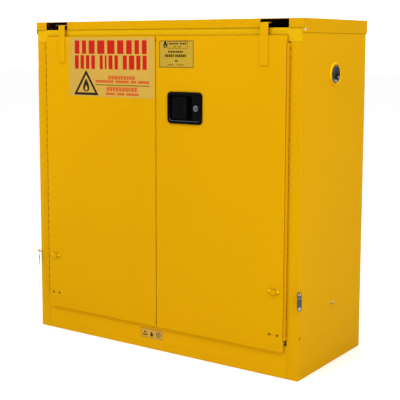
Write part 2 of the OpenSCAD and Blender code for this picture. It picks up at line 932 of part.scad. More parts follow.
// Strike plates for the rods, above the header's return and below the base panel's.
module latch_strikes() {
    color("silver") at_front() {
        difference() {
            block([top_rod_x - 30, 6, opening_top + sheet],
                  [top_rod_x + 30, 33, opening_top + sheet + 2]);
            bar_z([top_rod_x, rod_y, opening_top], rod_r + 0.8, 10);
        }
        difference() {
            block([bottom_rod_x - 30, 6, base_h - sheet - 2],
                  [bottom_rod_x + 30, 33, base_h - sheet]);
            bar_z([bottom_rod_x, rod_y, base_h - 10], rod_r + 0.8, 10);
        }
    }
}

// ---------- inside fittings ----------

// Slotted strips on the side liners that the shelf clips hook into.
module shelf_standards() {
    slot_pitch = 50.8;
    z0 = 130;
    color("lightgray") at_front()
        for (s = [0, 1], y = standard_y)
            mirror([s, 0, 0]) difference() {
                block([seam_x - standard_t, y - 12, z0], [seam_x, y + 12, ceiling_z - 12]);
                for (i = [0 : 17])
                    block([seam_x - standard_t - 1, y - 2, z0 + 18 + i * slot_pitch],
                          [seam_x + 1, y + 2, z0 + 30 + i * slot_pitch]);
            }
}

// Four bent clips under the shelf.
module shelf_clips() {
    clip_t = 2;
    reach = 26;
    x1 = seam_x - standard_t;
    z1 = shelf_z - shelf_lip;
    color("lightgray") at_front()
        for (s = [0, 1], y = standard_y)
            mirror([s, 0, 0]) {
                block([x1 - clip_t, y - 9, z1 - 32], [x1, y + 9, z1]);
                block([x1 - reach, y - 9, z1 - clip_t], [x1, y + 9, z1]);
            }
}

// Galvanized shelf: a deck folded down and under at its front, back and ends.
module shelf() {
    x1 = seam_x - standard_t - 2.5;
    y0 = jamb_d + 12;
    y1 = inner_back_y - sheet - 6;
    color("silver") at_front() {
        difference() {
            block([-x1, y0, shelf_z - shelf_lip], [x1, y1, shelf_z]);
            block([sheet - x1, y0 + sheet, shelf_z - shelf_lip - 1],
                  [x1 - sheet, y1 - sheet, shelf_z - sheet]);
        }
        for (y = [y0, y1 - 14])
            block([-x1, y, shelf_z - shelf_lip], [x1, y + 14, shelf_z - shelf_lip + sheet]);
    }
}

// ---------- vents and grounding ----------

// Threaded bushing through both walls, with its lock nut inside.
module vent_bushing(z) {
    difference() {
        union() {
            bar_x([seam_x - 8, vent_y, z], vent_r + vent_wall, side_x - seam_x + 8);
            bar_x([side_x, vent_y, z], 40.5, 2.2);
            bar_x([side_x + 2.2, vent_y, z], 36.8, 1.8);
        }
        bar_x([seam_x - 9, vent_y, z], vent_r, 90);
    }
    difference() {
        bar_x([seam_x - 6, vent_y, z], 41, 6);
        bar_x([seam_x - 7, vent_y, z], vent_r + vent_wall + vent_gap, 10);
    }
}

module vent_bushings() {
    color("goldenrod") at_front() {
        vent_bushing(vent_high_z);
        to_left() vent_bushing(vent_low_z);
    }
}

// Dished metal plug that closes the bushing.
module vent_plug(z) {
    r = vent_r - 0.05;
    translate([side_x - 6, vent_y, z]) rotate([0, 90, 0])
        rotate_extrude()
            polygon([[0, 0], [r, 0], [r, 10], [r - 2.5, 10.8], [r - 5, 10], [r - 9, 5.5],
                     [r - 14, 3.6], [0, 3]]);
}

module vent_plugs() {
    color("silver") at_front() {
        vent_plug(vent_high_z);
        to_left() vent_plug(vent_low_z);
    }
}

// Flame-arresting screen pack at the inner end of each bushing.
module flame_arrester(z) {
    bar_x([seam_x + 4, vent_y, z], vent_r - 0.05, 3);
}

module flame_arresters() {
    color("gray") at_front() {
        flame_arrester(vent_high_z);
        to_left() flame_arrester(vent_low_z);
    }
}

// Grounding screw with washer and nut, low on the right side.
module ground_screw() {
    color("goldenrod") at_front() {
        bar_x([side_x - 14, ground_y, ground_z], ground_r, 24);
        bar_x([side_x, ground_y, ground_z], 8, 1.2);
        translate([side_x + 1.2, ground_y, ground_z]) rotate([0, 90, 0])
            cylinder(r = 6.2, h = 5, $fn = 6);
        translate([side_x - sheet - 5, ground_y, ground_z]) rotate([0, 90, 0])
            cylinder(r = 6.2, h = 5, $fn = 6);
    }
}

left_side_panel();
right_side_panel();
back_panel();
top_deck();
floor_panel();
floor_channels();
base_panel();
header_rail();
left_side_liner();
right_side_liner();
back_liner();
top_liner();
sill_pan();
mechanism_cover();
cover_screws();
left_frame_hinge();
right_frame_hinge();
hinge_pins();
shelf_standards();
shelf_clips();
shelf();
latch_strikes();
vent_bushings();
vent_plugs();
flame_arresters();
ground_screw();
link_hooks();
left_closer();
right_closer();
base_label();
left_closer_lever();
right_closer_lever();
left_link_rod();
right_link_rod();
left_fusible_link();
right_fusible_link();
left_door_skin();
right_door_skin();
left_door_liner();
right_door_liner();
left_door_hinge();
right_door_hinge();
left_door_arm();
right_door_arm();
left_link_catch();
right_link_catch();
left_door_rivets();
right_door_rivets();
left_door_label();
right_door_label();
latch_housing();
lock_barrel();
lock_plug();
latch_paddle();
paddle_pin();
centre_bolt();
latch_cam();
top_rod();
bottom_rod();
rod_guides();
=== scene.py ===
"""The looks of a double-wall flammable storage cabinet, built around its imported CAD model."""

import json
import math

import bmesh
import bpy
from mathutils import Matrix, Vector


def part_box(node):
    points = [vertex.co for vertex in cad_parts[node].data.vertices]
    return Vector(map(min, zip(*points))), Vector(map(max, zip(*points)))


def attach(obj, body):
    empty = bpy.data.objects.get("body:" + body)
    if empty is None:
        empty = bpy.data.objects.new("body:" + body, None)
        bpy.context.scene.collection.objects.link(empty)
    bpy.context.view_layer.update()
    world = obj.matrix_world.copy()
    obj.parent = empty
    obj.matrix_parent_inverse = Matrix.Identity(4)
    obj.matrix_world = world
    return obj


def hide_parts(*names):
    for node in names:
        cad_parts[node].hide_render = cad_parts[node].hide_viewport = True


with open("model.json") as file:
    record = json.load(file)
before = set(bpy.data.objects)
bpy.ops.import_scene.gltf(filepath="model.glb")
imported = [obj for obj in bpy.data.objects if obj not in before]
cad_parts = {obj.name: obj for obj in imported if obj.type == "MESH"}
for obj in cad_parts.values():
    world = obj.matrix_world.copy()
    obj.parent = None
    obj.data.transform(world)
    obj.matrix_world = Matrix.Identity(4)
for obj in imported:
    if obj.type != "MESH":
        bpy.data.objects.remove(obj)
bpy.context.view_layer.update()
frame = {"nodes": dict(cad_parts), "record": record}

MM = 0.001
LEFT_AND_RIGHT = ((-1, "left"), (1, "right"))

# Faces that the pieces below are set out from
side_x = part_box("back_panel")[1].x
frame_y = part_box("header_rail")[0].y
door_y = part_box("left_door_skin")[0].y
seam_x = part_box("right_side_liner")[0].x
deck_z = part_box("top_deck")[1].z


# ---------- camera, lights and floor ----------

CAMERA_AT = (1.919, -2.833, 1.056)
CAMERA_YAW = 35.28
CAMERA_PITCH = -6.85
CAMERA_LENS = 86.2
CAMERA_SHIFT = (0.06, -0.1)


def add_camera():
    data = bpy.data.cameras.new("camera")
    data.lens = CAMERA_LENS
    data.sensor_width = 36.0
    data.shift_x, data.shift_y = CAMERA_SHIFT
    camera = bpy.data.objects.new("camera", data)
    camera.location = CAMERA_AT
    camera.rotation_euler = (math.radians(90 + CAMERA_PITCH), 0, math.radians(CAMERA_YAW))
    bpy.context.scene.collection.objects.link(camera)
    bpy.context.scene.camera = camera


def add_light(name, at, aim, size, power):
    data = bpy.data.lights.new(name, "AREA")
    data.shape = "RECTANGLE"
    data.size, data.size_y = size
    data.energy = power
    light = bpy.data.objects.new(name, data)
    light.location = at
    light.rotation_euler = (Vector(aim) - Vector(at)).to_track_quat("-Z", "Y").to_euler()
    bpy.context.scene.collection.objects.link(light)


def add_studio():
    middle = (0, 0, 0.55)
    add_light("left_key", (-2.2, -3.6, 1.8), middle, (2.0, 2.0), 43)
    add_light("side_fill", (3.6, -1.0, 2.9), middle, (2.0, 1.6), 113)
    add_light("overhead", (0.1, -2.4, 3.5), (0, -0.2, 0.9), (2.2, 1.2), 66)
    bpy.context.scene.world = studio_world()
    bpy.context.scene.view_settings.view_transform = "Standard"


BRIGHT_SIDE = (-0.60, 0.50, 0.62)


def studio_world():
    """A white wall behind and above the cabinet that dims towards the studio's other sides."""
    world = bpy.data.worlds.new("studio")
    world.use_nodes = True
    tree = world.node_tree
    background = tree.nodes["Background"]
    background.inputs["Color"].default_value = (1.0, 1.0, 1.0, 1.0)
    toward = tree.nodes.new("ShaderNodeVectorMath")
    toward.operation = "DOT_PRODUCT"
    toward.inputs[1].default_value = BRIGHT_SIDE
    direction = tree.nodes.new("ShaderNodeTexCoord").outputs["Generated"]
    tree.links.new(direction, toward.inputs[0])
    tree.links.new(span(tree, toward.outputs["Value"], 0.25, 1.5, 0.1, 0.6),
                   background.inputs["Strength"])
    return world


def add_floor():
    bm = bmesh.new()
    bmesh.ops.create_grid(bm, x_segments=8, y_segments=8, size=30)
    mesh = bpy.data.meshes.new("floor")
    bm.to_mesh(mesh)
    bm.free()
    floor = bpy.data.objects.new("floor", mesh)
    floor.location.z = -0.0005
    bpy.context.scene.collection.objects.link(floor)
    mesh.materials.append(floor_material())


# ---------- material nodes ----------

def new_material(name, **constants):
    """A material, its node tree and its shader, with the shader's constant sockets set."""
    material = bpy.data.materials.new(name)
    material.use_nodes = True
    tree = material.node_tree
    surface = tree.nodes["Principled BSDF"]
    for socket, value in constants.items():
        surface.inputs[socket.replace("_", " ")].default_value = value
    return material, tree, surface


def object_point(tree, stretch=(1, 1, 1)):
    """Object coordinates, stretched along each axis."""
    place = tree.nodes.new("ShaderNodeTexCoord").outputs["Object"]
    mapping = tree.nodes.new("ShaderNodeMapping")
    mapping.inputs["Scale"].default_value = stretch
    tree.links.new(place, mapping.inputs["Vector"])
    return mapping.outputs["Vector"]


def cloud(tree, point, scale, detail=2.0, roughness=0.5):
    """Smooth noise, mostly between 0.3 and 0.7."""
    noise = tree.nodes.new("ShaderNodeTexNoise")
    noise.inputs["Scale"].default_value = scale
    noise.inputs["Detail"].default_value = detail
    noise.inputs["Roughness"].default_value = roughness
    tree.links.new(point, noise.inputs["Vector"])
    return noise.outputs["Fac"]


def cells(tree, point, scale):
    """The colour of each cell of a Voronoi pattern."""
    voronoi = tree.nodes.new("ShaderNodeTexVoronoi")
    voronoi.inputs["Scale"].default_value = scale
    tree.links.new(point, voronoi.inputs["Vector"])
    return voronoi.outputs["Color"]


def span(tree, value, low, high, start=0.3, end=0.7):
    """A value from start to end becomes one from low to high."""
    node = tree.nodes.new("ShaderNodeMapRange")
    node.inputs["From Min"].default_value = start
    node.inputs["From Max"].default_value = end
    node.inputs["To Min"].default_value = low
    node.inputs["To Max"].default_value = high
    tree.links.new(value, node.inputs["Value"])
    return node.outputs["Result"]


def mix(tree, share, first, second):
    """A mix of two colours, each a colour or a socket, by a socket's share."""
    node = tree.nodes.new("ShaderNodeMix")
    node.data_type = "RGBA"
    tree.links.new(share, node.inputs["Factor"])
    for name, value in (("A", first), ("B", second)):
        socket = next(s for s in node.inputs if s.name == name and s.type == "RGBA")
        if isinstance(value, bpy.types.NodeSocket):
            tree.links.new(value, socket)
        else:
            socket.default_value = (*value, 1.0)
    return next(s for s in node.outputs if s.type == "RGBA")


def bump(tree, height, distance, strength, under=None):
    """A normal bent by a height, laid over another bent normal where one is given."""
    node = tree.nodes.new("ShaderNodeBump")
    node.inputs["Strength"].default_value = strength
    node.inputs["Distance"].default_value = distance
    tree.links.new(height, node.inputs["Height"])
    if under is not None:
        tree.links.new(under, node.inputs["Normal"])
    return node.outputs["Normal"]


def edges(tree, radius, toward=None):
    """1 along sharp edges and 0 elsewhere; toward keeps the edges that lean in one direction."""
    rounded = tree.nodes.new("ShaderNodeBevel")
    rounded.samples = 4
    rounded.inputs["Radius"].default_value = radius
    straight = tree.nodes.new("ShaderNodeNewGeometry")
    lean = tree.nodes.new("ShaderNodeVectorMath")
    lean.operation = "DOT_PRODUCT"
    tree.links.new(rounded.outputs["Normal"], lean.inputs[0])
    tree.links.new(straight.outputs["Normal"], lean.inputs[1])
    edge = span(tree, lean.outputs["Value"], 1.0, 0.0, 0.75, 0.99)
    if toward is None:
        return edge
    return times(tree, edge, leaning(tree, toward, 0.2, 0.55, rounded.outputs["Normal"]))


def leaning(tree, toward, start, end, normal=None):
    """1 where a surface leans in a direction, 0 where it leans the other way."""
    if normal is None:
        normal = tree.nodes.new("ShaderNodeNewGeometry").outputs["Normal"]
    side = tree.nodes.new("ShaderNodeVectorMath")
    side.operation = "DOT_PRODUCT"
    side.inputs[1].default_value = toward
    tree.links.new(normal, side.inputs[0])
    return span(tree, side.outputs["Value"], 0.0, 1.0, start, end)


def times(tree, first, second):
    """The product of two sockets."""
    node = tree.nodes.new("ShaderNodeMath")
    node.operation = "MULTIPLY"
    tree.links.new(first, node.inputs[0])
    tree.links.new(second, node.inputs[1])
    return node.outputs[0]


def shade(colour, factor):
    """A lighter or darker tone of a colour."""
    return tuple(min(1.0, channel * factor) for channel in colour)


# ---------- materials ----------

def powder_coat(name, colour, smooth=0.30, rough=0.42, marks=(), painted_shade_from=None):
    """Powder coat: slow drift of tone, faint mottling, orange peel and thin paint on edges.

    Each mark is painted light or painted shade: edge or lean, a direction and how much lighter or
    darker the colour is painted there. Past a given depth along Y the colour is painted near black, a
    painted shade.
    """
    material, tree, surface = new_material(
        name, Specular_IOR_Level=0.004, Specular_Tint=(1.0, 0.7, 0.15, 1.0))
    point = object_point(tree)
    drift = span(tree, cloud(tree, point, 1.7), 0.0, 1.0)
    tone = mix(tree, drift, shade(colour, 0.965), shade(colour, 1.03))
    mottle = cloud(tree, point, 46, detail=5, roughness=0.6)
    tone = mix(tree, span(tree, mottle, 0.0, 0.4, 0.45, 0.8), tone, shade(colour, 0.94))
    thin = times(tree, edges(tree, 1.6 * MM), span(tree, mottle, 0.15, 0.75, 0.35, 0.65))
    lighter = (colour[0] * 1.10, colour[1] * 1.18, colour[2] + 0.02)
    tone = mix(tree, thin, tone, lighter)
    # Painted light and shade: each mark paints edges or slopes that face one way lighter or darker.
    for kind, toward, factor in marks:
        share = edges(tree, 3 * MM, toward) if kind == "edge" else leaning(tree, toward, 0.25, 0.6)
        tone = mix(tree, share, tone, shade(colour, factor))
    # Painted shade: past a given depth along Y the colour turns near black.
    if painted_shade_from is not None:
        place = tree.nodes.new("ShaderNodeSeparateXYZ")
        tree.links.new(point, place.inputs[0])
        inside = span(tree, place.outputs["Y"], 0.0, 1.0, painted_shade_from, painted_shade_from + 4 * MM)
        tone = mix(tree, inside, tone, (0.010, 0.007, 0.004))
    tree.links.new(tone, surface.inputs["Base Color"])
    tree.links.new(span(tree, mottle, smooth, rough), surface.inputs["Roughness"])
    pan = bump(tree, cloud(tree, point, 2.6, detail=1), 3 * MM, 0.35)
    peel = bump(tree, cloud(tree, point, 520, detail=1), 0.10 * MM, 0.55, under=pan)
    tree.links.new(peel, surface.inputs["Normal"])
    return material


COOL_TINT = (0.93, 0.97, 1.03)


def plated_steel(name, colour, smooth, rough, grain=(900, 900, 30), edge=1.2, band=0.8 * MM,
                 bright=None):
    """Bright plating over drawn steel: fine drawing lines, cloudy tint and recoloured edges.

    Edges take the edge factor: rubbed wear near 1, a painted highlight far above 1 and a painted shadow
    far below 1. Where a surface leans towards the given direction a painted reflection shows it far
    paler.
    """
    material, tree, surface = new_material(name, Metallic=1.0)
    lines = cloud(tree, object_point(tree, grain), 1.0, detail=3)
    patches = cloud(tree, object_point(tree), 35, detail=3)
    cool = tuple(channel * factor for channel, factor in zip(colour, COOL_TINT))
    tone = mix(tree, span(tree, patches, 0.0, 1.0), colour, cool)
    tone = mix(tree, span(tree, lines, 0.0, 0.45), tone, shade(colour, 0.72))
    # Painted reflection: surfaces that lean towards the given direction are painted far paler.
    if bright:
        tone = mix(tree, leaning(tree, bright, 0.12, 0.5), tone, shade(colour, 14))
    # Edges recoloured by the edge factor: rubbed wear near 1, painted highlight well above, painted
    # shadow well below.
    wear_and_painted_light = mix(tree, edges(tree, band), tone, shade(colour, edge))
    tree.links.new(wear_and_painted_light, surface.inputs["Base Color"])
    tree.links.new(span(tree, lines, smooth, rough), surface.inputs["Roughness"])
    tree.links.new(bump(tree, lines, 0.02 * MM, 0.5), surface.inputs["Normal"])
    return material


def galvanized(name, colour):
    """Hot-dip zinc: crystals of different tone and gloss, 12 to 20 mm across."""
    material, tree, surface = new_material(name, Metallic=0.9)
    point = object_point(tree)
    crystal = cells(tree, point, 62)
    split = tree.nodes.new("ShaderNodeSeparateColor")
    tree.links.new(crystal, split.inputs["Color"])
    dust = cloud(tree, point, 240, detail=3)
    tone = mix(tree, split.outputs["Red"], shade(colour, 0.82), shade(colour, 1.12))
    tone = mix(tree, span(tree, dust, 0.0, 0.35), tone, shade(colour, 0.7))
    tree.links.new(tone, surface.inputs["Base Color"])
    tree.links.new(span(tree, split.outputs["Green"], 0.32, 0.52, 0, 1), surface.inputs["Roughness"])
    tree.links.new(bump(tree, dust, 0.04 * MM, 0.5), surface.inputs["Normal"])
    return material


def black_plastic(name, colour, painted_highlight_below=None):
    """Moulded plastic with a fine spark texture, and a painted grey highlight on up-facing slopes low
    on the part.
    """
    material, tree, surface = new_material(name, Specular_IOR_Level=0.012)
    point = object_point(tree)
    grain = cloud(tree, point, 1500, detail=2)
    scuffs = cloud(tree, point, 70, detail=4, roughness=0.65)
    tone = mix(tree, span(tree, scuffs, 0.0, 1.0), shade(colour, 0.75), shade(colour, 1.5))
    # Painted highlight: sharp edges a little paler.
    tone = mix(tree, edges(tree, 0.9 * MM), tone, shade(colour, 2.6))
    # Painted highlight: below a given height, slopes that face up are painted grey.
    if painted_highlight_below:
        place = tree.nodes.new("ShaderNodeSeparateXYZ")
        tree.links.new(point, place.inputs[0])
        low = span(tree, place.outputs["Z"], 1.0, 0.0, painted_highlight_below - 20 * MM, painted_highlight_below)
        wear_and_painted_light = times(tree, low, leaning(tree, (0.35, 0, 0.94), 0.15, 0.7))
        tone = mix(tree, wear_and_painted_light, tone, (0.050, 0.064, 0.074))
    tree.links.new(tone, surface.inputs["Base Color"])
    tree.links.new(span(tree, scuffs, 0.30, 0.46), surface.inputs["Roughness"])
    tree.links.new(bump(tree, grain, 0.05 * MM, 0.6), surface.inputs["Normal"])
    return material


def printed_film(name, colour, deeper):
    """Vinyl film or ink: slight fading in patches, fine print grain and a satin face."""
    material, tree, surface = new_material(name, Specular_IOR_Level=0.02)
    point = object_point(tree)
    fade = cloud(tree, point, 14, detail=3)
    grain = cloud(tree, point, 900, detail=2)
    tone = mix(tree, span(tree, fade, 0.0, 1.0), colour, deeper)
    tone = mix(tree, span(tree, grain, 0.0, 0.22), tone, shade(colour, 0.7))
    tree.links.new(tone, surface.inputs["Base Color"])
    tree.links.new(span(tree, fade, 0.34, 0.48), surface.inputs["Roughness"])
    tree.links.new(bump(tree, grain, 0.02 * MM, 0.5), surface.inputs["Normal"])
    return material


def floor_material():
    """A pale studio floor with faint patches."""
    material, tree, surface = new_material("studio_floor", Specular_IOR_Level=0.1)
    point = object_point(tree)
    patches = span(tree, cloud(tree, point, 1.2), 0.0, 1.0)
    tree.links.new(mix(tree, patches, (0.96, 0.96, 0.96), (0.98, 0.98, 0.975)),
                   surface.inputs["Base Color"])
    tree.links.new(span(tree, patches, 0.75, 0.85), surface.inputs["Roughness"])
    return material


YELLOW = (0.50, 0.255, 0.0014)

# One material for each slot of the CAD nodes
materials = {
    "yellow_paint": powder_coat("yellow_powder_coat", YELLOW),
    "inner_paint": powder_coat("inner_powder_coat", shade(YELLOW, 0.97), 0.36, 0.5),
    "zinc_steel": plated_steel("clear_zinc", (0.62, 0.63, 0.63), 0.26, 0.42),
    "galvanized_steel": galvanized("galvanized_zinc", (0.55, 0.57, 0.58)),
    # Vent caps: the near-black colour and the pale up- and back-facing slopes are painted reflection,
    # the pale rims a painted highlight.
    "vent_metal": plated_steel("vent_plate_painted_reflection", (0.022, 0.027, 0.033), 0.12, 0.24, (60, 60, 60),
                               edge=9.0, bright=(0, 0.6, 0.8)),
    "screen_metal": plated_steel("screen_wire", (0.34, 0.34, 0.33), 0.35, 0.5),
    "closer_grey": powder_coat("closer_enamel", (0.022, 0.023, 0.025)),
    # Fusible links: a broad painted shadow darkens the plates' edges.
    "link_metal": plated_steel("dull_nickel", (0.070, 0.082, 0.080), 0.34, 0.5, (60, 60, 900),
                               edge=0.12, band=2.0 * MM),
    "latch_black": black_plastic("black_moulding", (0.0022, 0.0022, 0.0022)),
    "lock_chrome": plated_steel("lock_plate", (0.185, 0.170, 0.21), 0.20, 0.34, (400, 400, 400)),
    "label_film": printed_film("gold_film", (0.446, 0.265, 0.043), (0.417, 0.257, 0.046)),
}
# Nodes whose coat differs from their slot's: the lock plug's own plating, and painted light and shade
# on panels, door edges, hinges, catches and arms
PANEL_COATS = {
    # Painted light: the header rail's coat is lighter and more lemon than the yellow.
    "header_rail": powder_coat("header_powder_coat", (0.53, 0.305, 0.003)),
    # Painted shade: the cover's coat is a little darker, with a painted shadow along its lower edge.
    "mechanism_cover": powder_coat("cover_powder_coat", shade(YELLOW, 0.96),
                                   marks=[("edge", (0, 0, -1), 0.7)]),
    # Painted light: the base panel's coat is a little lighter.
    "base_panel": powder_coat("base_powder_coat", shade(YELLOW, 1.06)),
    "lock_plug": plated_steel("key_plate", (0.10, 0.092, 0.12), 0.2, 0.34, (400, 400, 400)),
    # Painted highlight along the left door's top edge, painted shade along its right edge at the middle
    # seam.
    "left_door_skin": powder_coat("left_door_powder_coat", YELLOW,
                                  marks=[("edge", (0, 0, 1), 1.6), ("edge", (1, 0, 0), 0.72)]),
    # Painted highlight along the right door's top and right edges.
    "right_door_skin": powder_coat("right_door_powder_coat", YELLOW,
                                   marks=[("edge", (0.7, 0, 0.7), 1.6)]),
    # Painted shade on the side of the left door hinge that faces right.
    "left_door_hinge": powder_coat("left_hinge_powder_coat", YELLOW,
                                   marks=[("lean", (0.95, -0.3, 0), 0.45)]),
}
# Painted shade: the hollow rivets' coat is dark, for the shade in their recesses.
shaded_rivet_coat = powder_coat("rivet_painted_shade_coat", shade(YELLOW, 0.42))
# Painted shade on the catches' downward-facing surfaces, under their loops.
for node in ("left_link_catch", "right_link_catch"):
    PANEL_COATS[node] = powder_coat(node + "_powder_coat", YELLOW,
                                    marks=[("lean", (0, -0.2, -0.98), 0.3)])
# Painted shade: the hinges' coat is darker and more orange than the yellow, for the shade along the
# hinge lines.
for node in ("left_frame_hinge", "right_frame_hinge", "right_door_hinge"):
    PANEL_COATS[node] = powder_coat(node + "_powder_coat", (0.47, 0.218, 0.0012))
for arm in ("left_door_arm", "right_door_arm"):
    # Behind the mechanism cover the arm's crank is painted near black, a painted shade, and a painted
    # shadow darkens the arm's lower edge.
    PANEL_COATS[arm] = powder_coat(arm + "_powder_coat", YELLOW,
                                   marks=[("edge", (0, 0, -1), 0.1)],
                                   painted_shade_from=frame_y + 2 * MM)
# Painted highlight on the vent rings' slopes that face up and forward.
ring_coat = powder_coat("ring_powder_coat", YELLOW, marks=[("lean", (0.2, -0.65, 0.72), 1.6)])
# Painted highlight on the tops of the rivet heads, painted shade on their undersides.
stud_coat = powder_coat("stud_powder_coat", YELLOW,
                        marks=[("lean", (0, -0.3, 0.95), 1.8), ("lean", (0, 0.3, -0.95), 0.2)])
# Painted highlight on the ground bolt's top, painted shade on its underside.
bolt_coat = powder_coat("ground_bolt_coat", (0.40, 0.27, 0.08),
                        marks=[("lean", (0, -0.3, 0.95), 1.6), ("lean", (0, 0.3, -0.95), 0.12)])
# The bezel's lower inner lip gets a painted grey highlight.
bezel_black = black_plastic("black_bezel", (0.0022, 0.0022, 0.0022), painted_highlight_below=0.83)
green_gold = printed_film("green_gold_film", (0.378, 0.238, 0.021), (0.358, 0.230, 0.023))
red_ink = printed_film("red_ink", (0.395, 0.010, 0.006), (0.365, 0.012, 0.006))
black_ink = printed_film("black_ink", (0.018, 0.012, 0.008), (0.026, 0.016, 0.008))
khaki_ink = printed_film("khaki_ink", (0.16, 0.095, 0.010), (0.14, 0.088, 0.012))
tan_film = printed_film("tan_film", (0.48, 0.27, 0.038), (0.45, 0.26, 0.042))
solder = plated_steel("solder", (0.48, 0.47, 0.44), 0.3, 0.55, (150, 150, 150))
eyelet_steel = plated_steel("eyelet_steel", (0.50, 0.50, 0.46), 0.15, 0.28)
small_red_ink = printed_film("small_red_ink", (0.44, 0.085, 0.018), (0.41, 0.085, 0.018))


# ---------- the CAD nodes that stay ----------

def finish_node(node, radius):
    """Rounds a CAD node's sharp edges for the picture, with its mesh left as it is."""
    shown = frame["nodes"][node]
    weld = shown.modifiers.new("weld", "WELD")
    weld.merge_threshold = 0.002 * MM
    flats = shown.modifiers.new("flats", "DECIMATE")
    flats.decimate_type = "DISSOLVE"
    flats.angle_limit = math.radians(0.6)
    round_edges = shown.modifiers.new("round_edges", "BEVEL")
    round_edges.width = radius
    round_edges.segments = 2
    round_edges.limit_method = "ANGLE"
    round_edges.angle_limit = math.radians(40)
    normals = shown.modifiers.new("normals", "WEIGHTED_NORMAL")
    normals.keep_sharp = True


SHEET_EDGE = 0.4 * MM
EDGE_RADIUS = {
    "left_door_skin": 1.8 * MM, "right_door_skin": 1.8 * MM, "mechanism_cover": 0.5 * MM,
    "latch_paddle": 0.9 * MM, "latch_housing": 0.8 * MM, "left_closer": 1.5 * MM,
    "right_closer": 1.5 * MM, "left_door_arm": 0.5 * MM, "right_door_arm": 0.5 * MM,
}


def dress_cad_nodes():
    for part in frame["record"]["subparts"]:
        node = part["node"]
        shown = frame["nodes"][node]
        shown.data.materials.clear()
        shown.data.materials.append(PANEL_COATS.get(node, materials[part["material_slot"]]))
        finish_node(node, EDGE_RADIUS.get(node, SHEET_EDGE))


# ---------- mesh tools ----------

FACING = {
    "front": Matrix(((1, 0, 0, 0), (0, 0, -1, 0), (0, 1, 0, 0), (0, 0, 0, 1))),
    "back": Matrix(((-1, 0, 0, 0), (0, 0, 1, 0), (0, 1, 0, 0), (0, 0, 0, 1))),
    "right": Matrix(((0, 0, 1, 0), (1, 0, 0, 0), (0, 1, 0, 0), (0, 0, 0, 1))),
    "left": Matrix(((0, 0, -1, 0), (-1, 0, 0, 0), (0, 1, 0, 0), (0, 0, 0, 1))),
    "up": Matrix.Identity(4),
}


def facing(direction, x, y, z):
    """A place whose local Z points in a direction, at a point in the frame."""
    return Matrix.Translation((x, y, z)) @ FACING[direction]


SHARP_ANGLE = math.radians(35)


def add_piece(name, bm, material, body, stands_for=()):
    """Makes an object of a finished mesh, and hangs it on a body."""
    bmesh.ops.recalc_face_normals(bm, faces=bm.faces)
    mesh = bpy.data.meshes.new(name)
    bm.to_mesh(mesh)
    bm.free()
    mesh.shade_smooth()
    mesh.set_sharp_from_angle(angle=SHARP_ANGLE)
    mesh.materials.append(material)
    piece = bpy.data.objects.new(name, mesh)
    bpy.context.scene.collection.objects.link(piece)
    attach(piece, body)
    if stands_for:
        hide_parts(*stands_for)


def join_rings(bm, first, second):
    """Faces between two rings, either of which may be a single point."""
    count = max(len(first), len(second))
    for i in range(count):
        j = (i + 1) % count
        if len(first) == 1:
            bm.faces.new((first[0], second[j], second[i]))
        elif len(second) == 1:
            bm.faces.new((first[i], first[j], second[0]))
        else:
            bm.faces.new((first[i], first[j], second[j], second[i]))


def add_turned(bm, profile, place, segments=64, closed=False):
    """A shape turned round the local Z axis from points of radius and height."""
    rings = []
    for radius, height in profile:
        if radius == 0:
            rings.append([bm.verts.new(place @ Vector((0, 0, height)))])
            continue
        turn = 2 * math.pi / segments
        rings.append([
            bm.verts.new(place @ Vector((radius * math.cos(i * turn),
                                         radius * math.sin(i * turn), height)))
            for i in range(segments)])
    for first, second in zip(rings, rings[1:]):
        join_rings(bm, first, second)
    if closed:
        join_rings(bm, rings[-1], rings[0])


def eased(points, radius, steps=4, closed=False):
    """An outline with each corner replaced by a short curve."""
    result = []
    count = len(points)
    for i, corner in enumerate(points):
        if not closed and i in (0, count - 1):
            result.append(corner)
            continue
        here = Vector(corner)
        before = Vector(points[i - 1]) - here
        after = Vector(points[(i + 1) % count]) - here
        start = here + before.normalized() * min(radius, before.length * 0.45)
        end = here + after.normalized() * min(radius, after.length * 0.45)
        for k in range(steps + 1):
            t = k / steps
            point = start * (1 - t) ** 2 + here * 2 * t * (1 - t) + end * t * t
            result.append(tuple(point))
    return result


def add_plate(bm, outlines, low, high, place, edge):
    """A flat plate between two local heights, from an outline and its holes, with eased edges."""
    curve = bpy.data.curves.new("plate", "CURVE")
    curve.dimensions = "2D"
    curve.fill_mode = "BOTH"
    curve.extrude = (high - low) / 2 - edge
    curve.bevel_depth = edge
    curve.bevel_resolution = 2
    curve.offset = -edge
    for outline in outlines:
        spline = curve.splines.new("POLY")
        spline.points.add(len(outline) - 1)
        for point, (u, v) in zip(spline.points, outline):
            point.co = (u, v, 0, 1)
        spline.use_cyclic_u = True
    holder = bpy.data.objects.new("plate", curve)
    bpy.context.scene.collection.objects.link(holder)
    graph = bpy.context.evaluated_depsgraph_get()
    mesh = bpy.data.meshes.new_from_object(holder.evaluated_get(graph), depsgraph=graph)
    mesh.transform(place @ Matrix.Translation((0, 0, (low + high) / 2)))
    bm.from_mesh(mesh)
    bpy.data.objects.remove(holder)
    bpy.data.curves.remove(curve)
    bpy.data.meshes.remove(mesh)
    bmesh.ops.remove_doubles(bm, verts=bm.verts, dist=0.0005 * MM)


